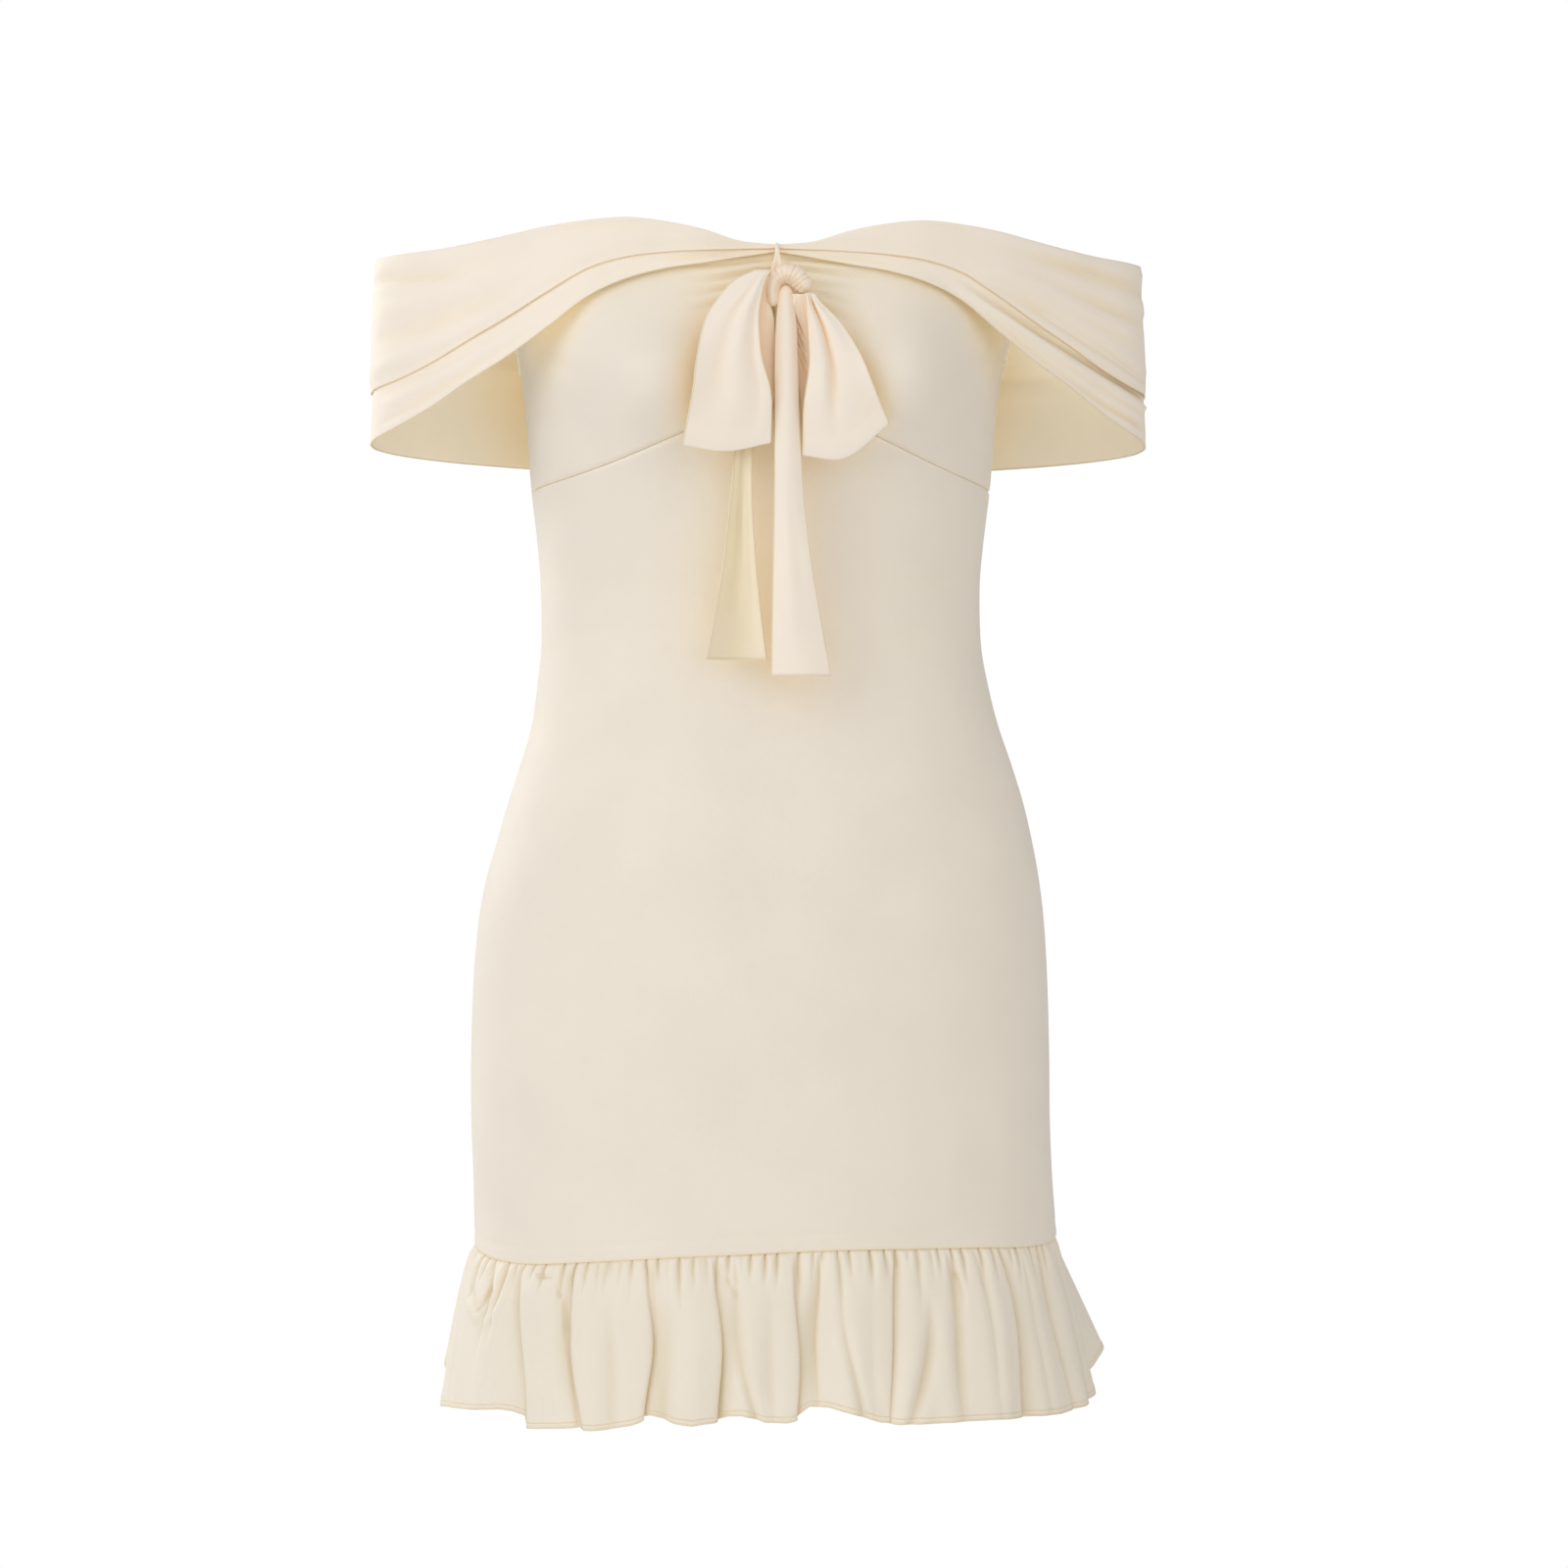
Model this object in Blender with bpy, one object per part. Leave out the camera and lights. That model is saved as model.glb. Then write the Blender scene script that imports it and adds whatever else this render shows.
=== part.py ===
# Off-shoulder mini dress as worn: a fitted body, a two-tier band over the upper arms,
# a tied bow at the centre front and a gathered ruffle round the hem.
# The front faces -Y and +Z is up. The origin lies on the figure's upright axis, at the height
# of the centre-front neckline. The tables below are in millimetres and degrees.

import math
from collections import namedtuple

import bmesh
import bpy
from mathutils import Vector

MM = 0.001

# Driving dimensions, in millimetres
WALL = 1.2
RUFFLE_WALL = 1.6
SEAM_GAP = 0.3
TIER_GAP = 0.6
BAND_TOP_GAP = 0.6
BAND_SPREAD = 0.045
BODY_HEM_Z = -544.5
HEM_TILT = 0.03
RUFFLE_DROP = 85.5
RUFFLE_FLARE = 18.0
RUFFLE_LEAN = 0.026
RUFFLE_CORNER = 15.0
RUFFLE_CORNER_ANGLE = 120.0
GATHER_DEPTH = 1.9
CUP_DEPTH = 27.0
CUP_X = 72.0
CUP_Z = -72.0
CUP_WIDTH = 37.0
CUP_HEIGHT = 36.0
BUST_GATHER_DEPTH = 1.1
BUST_GATHER_REACH = 46.0
KEEPER_WIDTH = 3.6
RUFFLE_WALL = 1.6
TAPE_RADIUS = 0.6

# How finely each wall is divided
BODY_COLUMNS = 24
BACK_COLUMNS = 20
BUST_ROWS = 14
FRONT_ROWS = 15
BACK_ROWS = 19
BAND_COLUMNS = 38
BAND_BACK_COLUMNS = 26
BAND_ROWS = 5
RUFFLE_COLUMNS = 124
LOOP_TURNS = 18
LOOP_ROWS = 8
TAIL_COLUMNS = 5
TAIL_ROWS = 12
KEEPER_ROWS = 16

# Level sections of the fitted body. half_width follows the front outline of the dress.
Section = namedtuple("Section", "z half_width front back power")
BODY = [
    Section(25, 147.0, 102, 84, 3.1),
    Section(0, 144.5, 103, 86, 3.0),
    Section(-36, 140.5, 105, 88, 2.8),
    Section(-75, 136.0, 104, 88, 2.6),
    Section(-124, 129.0, 96, 84, 2.4),
    Section(-150, 126.0, 90, 80, 2.35),
    Section(-179, 123.6, 86, 77, 2.3),
    Section(-201, 123.5, 85, 76, 2.3),
    Section(-234, 127.0, 88, 79, 2.3),
    Section(-267, 134.5, 93, 86, 2.3),
    Section(-289, 141.5, 97, 92, 2.3),
    Section(-311, 148.0, 100, 98, 2.3),
    Section(-333, 153.0, 102, 104, 2.3),
    Section(-355, 157.5, 104, 109, 2.3),
    Section(-399, 161.3, 105, 115, 2.3),
    Section(-432, 162.4, 105, 116, 2.3),
    Section(-476, 162.6, 104, 113, 2.3),
    Section(-509, 162.8, 103, 109, 2.3),
    Section(-560, 164.5, 102, 105, 2.3),
]

# Top edge of the body's panels, from centre front (0) round the underarm (90) to centre back
EdgePoint = namedtuple("EdgePoint", "angle z")
NECK_EDGE = [
    EdgePoint(0, -2.4),
    EdgePoint(6, 0.0),
    EdgePoint(13, 7.0),
    EdgePoint(21, 11.2),
    EdgePoint(30, 13.4),
    EdgePoint(40, 11.5),
    EdgePoint(54, 1.0),
    EdgePoint(70, -19.0),
    EdgePoint(90, -30.0),
    EdgePoint(112, -21.0),
    EdgePoint(130, -6.0),
    EdgePoint(146, 1.0),
    EdgePoint(180, 2.8),
]

# Plan of the band from centre front round the arm to centre back, with the heights of its top
# edge and of its two lower edges
BandStation = namedtuple("BandStation", "x y top upper_edge lower_edge")
BAND_FRONT = [
    BandStation(0, -103, -1.4, -4.6, -6.8),
    BandStation(20, -103, 1.5, -4.0, -6.8),
    BandStation(40, -103, 8.5, -3.6, -10.3),
    BandStation(60, -101, 12.7, -4.2, -12.8),
    BandStation(80, -98, 15.0, -5.6, -17.3),
    BandStation(100, -92, 14.0, -12.2, -27.2),
    BandStation(120, -84, 11.7, -23.7, -42.5),
    BandStation(140, -73.5, 8.2, -36.0, -57.0),
    BandStation(160, -61.5, 5.0, -47.3, -69.3),
    BandStation(178, -48.0, 3.0, -57.8, -81.5),
    BandStation(196.5, -32.0, 2.2, -66.5, -92.0),
    BandStation(207.3, -16.0, 2.0, -70.0, -97.5),
    BandStation(210.6, 0, 2.0, -71.5, -100.0),
]
BAND_BACK = [
    BandStation(210.6, 0, 2.0, -71.5, -100.0),
    BandStation(207.3, 16, 2.0, -73.0, -101.5),
    BandStation(196.5, 32, 2.0, -75.0, -103.0),
    BandStation(178, 47, 2.0, -77.0, -104.5),
    BandStation(150, 62, 2.5, -78.5, -106.0),
    BandStation(110, 76, 3.5, -79.5, -107.5),
    BandStation(60, 84, 4.0, -80.0, -108.0),
    BandStation(0, 86, 4.0, -80.0, -108.0),
]

# Folds of the ruffle: where each one turns in, and how deep it is at the hem
Fold = namedtuple("Fold", "angle depth")
RUFFLE_FOLDS = [
    Fold(-90, 6), Fold(-76, 9), Fold(-63, 8), Fold(-52, 9), Fold(-43.5, 6), Fold(-35, 9),
    Fold(-27, 6), Fold(-20.5, 13), Fold(-9.5, 12), Fold(2, 13), Fold(9.5, 7), Fold(16, 10),
    Fold(22, 7), Fold(29, 9), Fold(43, 10), Fold(57, 9), Fold(72, 8), Fold(90, 6),
    Fold(103, 11), Fold(115, 9), Fold(128, 13), Fold(140, 10), Fold(151, 12), Fold(164, 9),
    Fold(177, 13), Fold(189, 10), Fold(202, 12), Fold(214, 9), Fold(228, 13), Fold(241, 10),
    Fold(255, 11), Fold(270, 6),
]
RUFFLE_LEVELS = [0.0, 0.07, 0.18, 0.36, 0.58, 0.8, 1.0]

# Front and rear layers of the bow's loops: share of the way down, and the ribbon's two edges
LoopStation = namedtuple("LoopStation", "down left right back_left back_right")
LEFT_LOOP = [
    LoopStation(0.0, -12, -7.4, -11, -7.4),
    LoopStation(0.055, -23, -7.4, -20, -7.4),
    LoopStation(0.155, -32, -7.6, -28, -7.2),
    LoopStation(0.28, -39.5, -9.8, -36, -5.4),
    LoopStation(0.5, -44.6, -9.6, -43, -3.8),
    LoopStation(0.7, -46.8, -5.2, -46, -3.8),
    LoopStation(0.86, -49.2, -4.9, -49, -4.4),
    LoopStation(1.0, -51.5, -4.9, -51.5, -4.9),
]
RIGHT_LOOP = [
    LoopStation(0.0, 14.4, 18.4, 14.4, 18),
    LoopStation(0.07, 14.0, 21.5, 14, 21),
    LoopStation(0.22, 15.2, 31.5, 14.5, 30),
    LoopStation(0.45, 16.0, 41.5, 14.5, 40),
    LoopStation(0.7, 13.2, 48.8, 13.2, 48),
    LoopStation(0.86, 12.8, 53.8, 12.8, 53.5),
    LoopStation(1.0, 12.8, 58.7, 12.8, 58.7),
]
LoopSize = namedtuple("LoopSize", "top_z bottom_left bottom_middle bottom_right puff")
LEFT_LOOP_SIZE = LoopSize(-15.4, -109.0, -112.0, -107.5, 6.0)
RIGHT_LOOP_SIZE = LoopSize(-29.5, -114.2, -115.0, -96.8, 5.5)

# Tails of the bow: height, the ribbon's two edges, its distance in front of the axis, and how
# far its middle stands out
TailStation = namedtuple("TailStation", "z left right front bow_out")
MIDDLE_TAIL = [
    TailStation(-23.4, 4.0, 6.8, 117.6, 0.2),
    TailStation(-36, 1.8, 7.6, 119.0, 0.6),
    TailStation(-62, -0.6, 9.8, 121.2, 1.5),
    TailStation(-95, -1.9, 10.8, 122.0, 2.0),
    TailStation(-130, -2.2, 12.6, 120.5, 2.2),
    TailStation(-165, -2.6, 16.5, 117.5, 2.6),
    TailStation(-200, -3.0, 22.5, 114.5, 3.0),
    TailStation(-231, -3.2, 28.3, 112.0, 3.4),
]
LEFT_TAIL = [
    TailStation(-26, -5.6, -1.4, 113.0, 0.0),
    TailStation(-50, -10.0, -3.5, 113.2, -0.2),
    TailStation(-75, -16.0, -7.5, 113.4, -0.5),
    TailStation(-100, -21.5, -13.0, 113.6, -1.2),
    TailStation(-130, -24.5, -14.5, 113.0, -3.0),
    TailStation(-165, -28.0, -12.5, 111.0, -5.5),
    TailStation(-195, -32.5, -9.5, 109.0, -7.0),
    TailStation(-222, -37.5, -6.0, 107.5, -8.0),
]

# The knot is an arch of rolled ribbon
KnotStation = namedtuple("KnotStation", "x z radius")
KNOT = [
    KnotStation(-2.9, -33.5, 3.0),
    KnotStation(-2.6, -27.5, 3.8),
    KnotStation(-1.0, -21.5, 4.3),
    KnotStation(3.8, -17.6, 4.6),
    KnotStation(9.6, -19.0, 4.9),
    KnotStation(14.0, -23.2, 4.4),
    KnotStation(16.3, -26.8, 3.0),
]
KNOT_FRONT = 118.6

# Keeper strip that gathers the centre front: side view from inside the neckline to the knot
KeeperStation = namedtuple("KeeperStation", "y z")
KEEPER = [
    KeeperStation(-102.9, -12.0),
    KeeperStation(-102.5, -4.0),
    KeeperStation(-103.5, -0.4),
    KeeperStation(-107.4, -0.2),
    KeeperStation(-109.7, -3.0),
    KeeperStation(-110.9, -9.0),
    KeeperStation(-111.8, -15.0),
    KeeperStation(-112.2, -20.0),
]

# Clear hanging loops at the underarms, as seen from the side: distance in front of the side
# seam, and height
TapeStation = namedtuple("TapeStation", "front z")
TAPE_LOOP = [
    TapeStation(9.0, -33.0),
    TapeStation(9.2, -42.0),
    TapeStation(9.8, -52.0),
    TapeStation(12.0, -59.0),
    TapeStation(15.4, -61.5),
    TapeStation(18.6, -58.5),
    TapeStation(20.2, -51.0),
    TapeStation(19.8, -42.0),
    TapeStation(18.0, -33.0),
]


def mix(a, b, share):
    return a + (b - a) * share


def table_value(rows, key, column, at):
    """A column's value at a key, on a smooth curve through the table's rows."""
    keys = [getattr(row, key) for row in rows]
    values = [getattr(row, column) for row in rows]
    if keys[0] > keys[-1]:
        keys.reverse()
        values.reverse()
    return curve_value(keys, values, at)


def curve_value(keys, values, at):
    """Cubic curve through rising keys, with each slope taken from the neighbouring points."""
    last = len(keys) - 1
    at = min(max(at, keys[0]), keys[last])
    i = next(k for k in range(1, last + 1) if at <= keys[k]) - 1

    def slope(k):
        before, after = max(k - 1, 0), min(k + 1, last)
        return (values[after] - values[before]) / (keys[after] - keys[before])

    width = keys[i + 1] - keys[i]
    t = (at - keys[i]) / width
    rise = slope(i) * width * t * (1 - t) ** 2 - slope(i + 1) * width * t * t * (1 - t)
    return mix(values[i], values[i + 1], t * t * (3 - 2 * t)) + rise


def rounded(value, power):
    """A sine or cosine bent to the rounder corners of a section."""
    return math.copysign(abs(value) ** (2 / power), value)


def cup(x, z):
    """How far the bust cups stand out of the plain section at a point of the front."""
    across = (abs(x) - CUP_X) / CUP_WIDTH
    upright = (z - CUP_Z) / CUP_HEIGHT
    return CUP_DEPTH * math.exp(-across * across - upright * upright)


def body_point(angle, z):
    """Inner surface of the fitted body, at degrees from centre front towards +X."""
    half_width = table_value(BODY, "z", "half_width", z)
    power = table_value(BODY, "z", "power", z)
    turn = math.radians(angle)
    x = half_width * rounded(math.sin(turn), power)
    if math.cos(turn) < 0:
        y = -table_value(BODY, "z", "back", z) * rounded(math.cos(turn), power)
        return Vector((x, y, z))
    fade = 1 - (1 - math.cos(turn)) ** 3
    front = table_value(BODY, "z", "front", z) * rounded(math.cos(turn), power)
    return Vector((x, -front - cup(x, z) * fade, z))


def body_depth(x, z):
    """Distance of the front surface from the axis plane at a place across the front."""
    half_width = table_value(BODY, "z", "half_width", z)
    power = table_value(BODY, "z", "power", z)
    share = min(abs(x) / half_width, 1.0)
    plain = table_value(BODY, "z", "front", z) * (1 - share**power) ** (1 / power)
    return plain + cup(x, z) * (1 - share**8)


def back_depth(x, z):
    """The same behind the axis plane."""
    half_width = table_value(BODY, "z", "half_width", z)
    power = table_value(BODY, "z", "power", z)
    share = min(abs(x) / half_width, 1.0)
    return table_value(BODY, "z", "back", z) * (1 - share**power) ** (1 / power)


def body_normal(angle, z):
    """Direction out of the body's surface."""
    step = 0.5
    along = body_point(angle + step, z) - body_point(angle - step, z)
    up = body_point(angle, z + step) - body_point(angle, z - step)
    return along.cross(up).normalized()


def wall(name, columns, rows, sheet, material, thickness=WALL):
    """A closed cloth wall. sheet(u, v) gives its inner point and its outward direction."""
    bm = bmesh.new()
    bmesh.ops.create_grid(bm, x_segments=columns, y_segments=rows, size=0.5)
    grown = bmesh.ops.extrude_face_region(bm, geom=bm.faces[:])
    outer = {item for item in grown["geom"] if isinstance(item, bmesh.types.BMVert)}
    for vertex in bm.verts:
        u = round((vertex.co.x + 0.5) * columns) / columns
        v = round((vertex.co.y + 0.5) * rows) / rows
        point, outward = sheet(u, v)
        if vertex in outer:
            point = point + outward * thickness
        vertex.co = point * MM
    bmesh.ops.recalc_face_normals(bm, faces=bm.faces[:])
    if bm.calc_volume(signed=True) < 0:
        bmesh.ops.reverse_faces(bm, faces=bm.faces[:])
    mesh = bpy.data.meshes.new(name)
    bm.to_mesh(mesh)
    bm.free()
    mesh.shade_smooth()
    mesh.set_sharp_from_angle(angle=math.radians(50))
    return add_part(bpy.data.objects.new(name, mesh), material)


def add_part(part, material):
    part.data.materials.append(material)
    bpy.data.collections["Off-shoulder dress"].objects.link(part)
    return part


def cloth_material(name, colour, roughness):
    material = bpy.data.materials.new(name)
    material.use_nodes = True
    shader = material.node_tree.nodes["Principled BSDF"]
    shader.inputs["Base Color"].default_value = (*colour, 1)
    shader.inputs["Roughness"].default_value = roughness
    shader.inputs["Metallic"].default_value = 0
    return material


def neck_z(angle):
    """Height of the body's top edge."""
    return table_value(NECK_EDGE, "angle", "z", abs(angle))


def underbust_z(angle):
    """Height of the seam under the bust: a peak at the centre that falls to the sides."""
    share = abs(math.sin(math.radians(angle))) ** 0.85
    return -79 - 47 * (share + math.sin(share * math.pi / 2)) / 2


def hem_z(x):
    """Height of the seam between body and ruffle, a little lower on the wearer's right."""
    return BODY_HEM_Z + HEM_TILT * x


def front_angle(u):
    """Columns of the front panels, closer together at the centre."""
    across = 2 * u - 1
    return 90 * across * (0.72 + 0.28 * across * across)


def kept_apart(point, half):
    """Holds a front panel (half -1) or a back panel (half 1) off the side seam's plane."""
    clear = SEAM_GAP / 2
    if half < 0:
        point.y = min(point.y, -clear)
    else:
        point.y = max(point.y, clear)
    return point


def bust_sheet(u, v):
    """Bust panel, drawn into gathers at the centre front."""
    angle = front_angle(u)
    top, bottom = neck_z(angle), underbust_z(angle) + SEAM_GAP / 2
    z = mix(top, bottom, v)
    point, outward = body_point(angle, z), body_normal(angle, z)
    row = round(v * BUST_ROWS)
    near_edge = min(v, 1 - v) * 6
    fade = math.exp(-((point.x / BUST_GATHER_REACH) ** 2)) * min(near_edge, 1)
    ridge = BUST_GATHER_DEPTH * fade * (1 if row % 2 else -0.15)
    return kept_apart(point + outward * max(ridge, 0), -1), outward


def front_sheet(u, v):
    """Front panel, from the seam under the bust to the ruffle."""
    angle = front_angle(u)
    top = underbust_z(angle) - SEAM_GAP / 2
    bottom = hem_z(body_point(angle, BODY_HEM_Z).x)
    z = mix(top, bottom, v)
    return kept_apart(body_point(angle, z), -1), body_normal(angle, z)


def back_sheet(u, v):
    """Back panel, in one piece from the top edge to the ruffle."""
    angle = mix(90, 270, u)
    top = neck_z(angle if angle <= 180 else 360 - angle)
    bottom = hem_z(body_point(angle, BODY_HEM_Z).x)
    z = mix(top, bottom, v)
    return kept_apart(body_point(angle, z), 1), body_normal(angle, z)


def band_place(stations, share):
    """Station values at a share of the band's way round, measured along its plan."""
    ways = [0.0]
    for a, b in zip(stations, stations[1:]):
        ways.append(ways[-1] + math.hypot(b.x - a.x, b.y - a.y))
    at = share * ways[-1]
    values = [curve_value(ways, [row[k] for row in stations], at) for k in range(5)]
    return BandStation(*values)


def band_normal(stations, share):
    """Level direction out of the band at a share of its way round."""
    step = 0.004
    a = band_place(stations, max(share - step, 0))
    b = band_place(stations, min(share + step, 1))
    outward = Vector((-(a.y - b.y), a.x - b.x, 0))
    if share in (0, 1):
        outward = Vector((0, outward.y, 0)) if abs(a.x) < 5 or abs(b.x) < 5 else Vector((1, 0, 0))
    return outward.normalized()


def band_sheet(stations, half, tier, u, v):
    """One tier of the band: tier 0 lies under tier 1, and both hang from the neckline."""
    side = 1 if u >= 0.5 else -1
    share = abs(2 * u - 1) if half < 0 else 1 - abs(2 * u - 1)
    here = band_place(stations, share)
    outward = band_normal(stations, share)
    edge = here.upper_edge if tier else here.lower_edge
    z = mix(here.top - 0.6 * (1 - tier), edge, v)
    inner = WALL * 1.15 + BAND_TOP_GAP + tier * (WALL + TIER_GAP)
    lift = inner + BAND_SPREAD * (here.top - z)
    point = Vector((here.x, here.y, z)) + outward * lift
    if here.x < table_value(BODY, "z", "half_width", z):
        depth = body_depth(here.x, z) if half < 0 else back_depth(here.x, z)
        point.y = max(point.y * half, depth + lift) * half
    point.x *= side
    return kept_apart(point, half), Vector((outward.x * side, outward.y, 0))


def front_band_sheet(tier):
    return lambda u, v: band_sheet(BAND_FRONT, -1, tier, u, v)


def back_band_sheet(tier):
    return lambda u, v: band_sheet(BAND_BACK, 1, tier, u, v)


def ruffle_wave(angle):
    """Depth of the hem's folds: 0 on average, low where a fold turns in."""
    if angle < -90:
        angle += 360
    after = next(k for k in range(1, len(RUFFLE_FOLDS)) if angle <= RUFFLE_FOLDS[k].angle)
    a, b = RUFFLE_FOLDS[after - 1], RUFFLE_FOLDS[after]
    share = (angle - a.angle) / (b.angle - a.angle)
    return -mix(a.depth, b.depth, share) / 2 * math.cos(2 * math.pi * share)


def ruffle_sheet(first, half, u, v):
    """Half of the ruffle: fine gathers at the seam run into broad folds at the hem."""
    level = curve_value([k / 6 for k in range(7)], RUFFLE_LEVELS, v) if v not in (0, 1) else v
    angle = first + 180 * u
    column = round(u * RUFFLE_COLUMNS)
    seam = body_point(angle, BODY_HEM_Z)
    outward = body_normal(angle, BODY_HEM_Z)
    outward = Vector((outward.x, outward.y, 0)).normalized()
    uneven = 0.75 + 0.25 * math.sin(column * 2.4)
    fade = min(1, 0.3 + level * 10) * math.exp(-level / 0.35)
    gather = GATHER_DEPTH * uneven * fade * (-1) ** column
    wave = ruffle_wave(angle)
    lean = RUFFLE_LEAN * seam.x
    turn = abs(angle) if angle <= 180 else 360 - angle
    corner = RUFFLE_CORNER * math.exp(-(((turn - RUFFLE_CORNER_ANGLE) / 24) ** 2))
    out = (RUFFLE_FLARE + lean) * level**0.62 + corner * level + gather + wave * level**1.2
    z = hem_z(seam.x) - SEAM_GAP - level * (RUFFLE_DROP + lean + wave * 0.45 * level)
    if half > 0:
        z += 5 * level * math.sin(math.pi * u)
    point = Vector((seam.x, seam.y, z)) + outward * out
    if column in (0, RUFFLE_COLUMNS):
        point.y = 0
        outward = Vector((math.copysign(1, seam.x), 0, 0))
    return kept_apart(point, half), outward


def ruffle_half(first, half):
    return lambda u, v: ruffle_sheet(first, half, u, v)


def loop_sheet(stations, size, u, v):
    """A loop of the bow: down the front, round the fold at the bottom and up behind."""
    down = 1 - abs(2 * u - 1)
    down = down * down * (3 - 2 * down) * 0.3 + down * 0.7
    rear = 0.5 - 0.5 * math.cos(math.pi * u)
    values = [curve_value([r.down for r in stations], [r[k] for r in stations], down) for k in range(5)]
    here = LoopStation(*values)
    left = mix(here.left, here.back_left, rear)
    right = mix(here.right, here.back_right, rear)
    x = mix(left, right, v)
    bottom = curve_value([0, 0.5, 1], [size.bottom_left, size.bottom_middle, size.bottom_right], v)
    z = mix(size.top_z, bottom, down)
    swell = size.puff * (0.45 + 0.55 * math.sin(math.pi * min(down * 1.15, 1)))
    half_depth = swell * math.sqrt(max(1 - down**6, 0))
    crown = 1.8 * math.sin(math.pi * v) * math.sin(math.pi * down)
    rest = max(body_depth(x, z) + WALL * 1.3 + 2.2, 117.2)
    middle = rest + size.puff * 0.9
    turn = math.cos(math.pi * u)
    reach = half_depth * (1 if turn > 0 else -1) if abs(turn) > 0.02 else 0
    y = -(middle + reach + (crown if turn > 0 else 0))
    lean = math.sqrt(max(1 - down**8, 0))
    outward = Vector((0, -math.copysign(lean, turn) if abs(turn) > 0.02 else 0, -(1 - lean) - 0.02))
    return Vector((x, y, z)), outward.normalized()


def loop_of(stations, size):
    return lambda u, v: loop_sheet(stations, size, u, v)


def tail_sheet(stations, u, v):
    """A hanging tail of the bow, curved across its width."""
    z = mix(stations[0].z, stations[-1].z, v)
    here = [table_value(stations, "z", column, z) for column in ("left", "right", "front", "bow_out")]
    left, right, front, bow_out = here
    x = mix(left, right, u)
    y = -(front + bow_out * math.sin(math.pi * u))
    return Vector((x, y, z)), Vector((0, -1, 0))


def tail_of(stations):
    return lambda u, v: tail_sheet(stations, u, v)


def keeper_sheet(u, v):
    """The narrow strip over the neckline that draws the centre together and holds the bow."""
    ways = [0.0]
    for a, b in zip(KEEPER, KEEPER[1:]):
        ways.append(ways[-1] + math.hypot(b.y - a.y, b.z - a.z))

    def place(way):
        return Vector((0, *(curve_value(ways, [row[k] for row in KEEPER], way) for k in range(2))))

    way = v * ways[-1]
    along = (place(min(way + 0.5, ways[-1])) - place(max(way - 0.5, 0))).normalized()
    point = place(way)
    point.x = KEEPER_WIDTH * (u - 0.5)
    return point, Vector((0, -along.z, along.y)) * -1


def tube(name, points, radii, material, resolution):
    """A round solid along a curve of points, with closed ends."""
    curve = bpy.data.curves.new(name, "CURVE")
    curve.dimensions = "3D"
    curve.bevel_depth = MM
    curve.bevel_resolution = resolution
    curve.use_fill_caps = True
    spline = curve.splines.new("POLY")
    spline.points.add(len(points) - 1)
    for item, point, radius in zip(spline.points, points, radii):
        item.co = (*(point * MM), 1)
        item.radius = radius
    return add_part(bpy.data.objects.new(name, curve), material)


def smooth_path(points, count):
    """Evenly numbered points on a smooth curve through a few chosen ones."""
    keys = list(range(len(points)))
    path = []
    for k in range(count):
        at = k * (len(points) - 1) / (count - 1)
        path.append([curve_value(keys, [p[i] for p in points], at) for i in range(len(points[0]))])
    return path


def knot(material):
    path = smooth_path([(s.x, -KNOT_FRONT, s.z, s.radius) for s in KNOT], 15)
    points = [Vector(p[:3]) for p in path]
    tube("bow_knot", points, [p[3] for p in path], material, 3)


def hanging_tape(name, side, material):
    """Clear tape loop that hangs outside the body at an underarm."""
    path = []
    for front, z in smooth_path([(s.front, s.z) for s in TAPE_LOOP], 19):
        half_width = table_value(BODY, "z", "half_width", z)
        power = table_value(BODY, "z", "power", z)
        turn = math.acos((front / table_value(BODY, "z", "front", z)) ** (power / 2))
        angle = math.degrees(turn) * side
        on_body = body_point(angle, z) + body_normal(angle, z) * (WALL + TAPE_RADIUS + 0.5)
        path.append(on_body)
    tube(name, path, [TAPE_RADIUS] * len(path), material, 1)


def build():
    for old in list(bpy.data.objects):
        bpy.data.objects.remove(old)
    parts = bpy.data.collections.new("Off-shoulder dress")
    bpy.context.scene.collection.children.link(parts)

    cream = cloth_material("Cream stretch cloth", (0.86, 0.79, 0.68), 0.7)
    clear = cloth_material("Clear elastic tape", (0.9, 0.9, 0.88), 0.25)

    wall("bust_panel", BODY_COLUMNS, BUST_ROWS, bust_sheet, cream)
    wall("front_panel", BODY_COLUMNS, FRONT_ROWS, front_sheet, cream)
    wall("back_panel", BACK_COLUMNS, BACK_ROWS, back_sheet, cream)
    for tier, word in enumerate(("lower", "upper")):
        wall(f"band_{word}_front", BAND_COLUMNS, BAND_ROWS, front_band_sheet(tier), cream)
        wall(f"band_{word}_back", BAND_BACK_COLUMNS, BAND_ROWS, back_band_sheet(tier), cream)
    levels = len(RUFFLE_LEVELS) - 1
    for word, first, half in (("front", -90, -1), ("back", 90, 1)):
        sheet = ruffle_half(first, half)
        wall(f"ruffle_{word}", RUFFLE_COLUMNS, levels, sheet, cream, RUFFLE_WALL)
    wall("bow_loop_left", LOOP_TURNS, LOOP_ROWS, loop_of(LEFT_LOOP, LEFT_LOOP_SIZE), cream)
    wall("bow_loop_right", LOOP_TURNS, LOOP_ROWS, loop_of(RIGHT_LOOP, RIGHT_LOOP_SIZE), cream)
    wall("bow_tail_middle", TAIL_COLUMNS, TAIL_ROWS, tail_of(MIDDLE_TAIL), cream)
    wall("bow_tail_left", TAIL_COLUMNS, TAIL_ROWS, tail_of(LEFT_TAIL), cream)
    wall("keeper", 2, KEEPER_ROWS, keeper_sheet, cream)
    knot(cream)
    hanging_tape("hanger_loop_left", -1, clear)
    hanging_tape("hanger_loop_right", 1, clear)


build()
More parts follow.
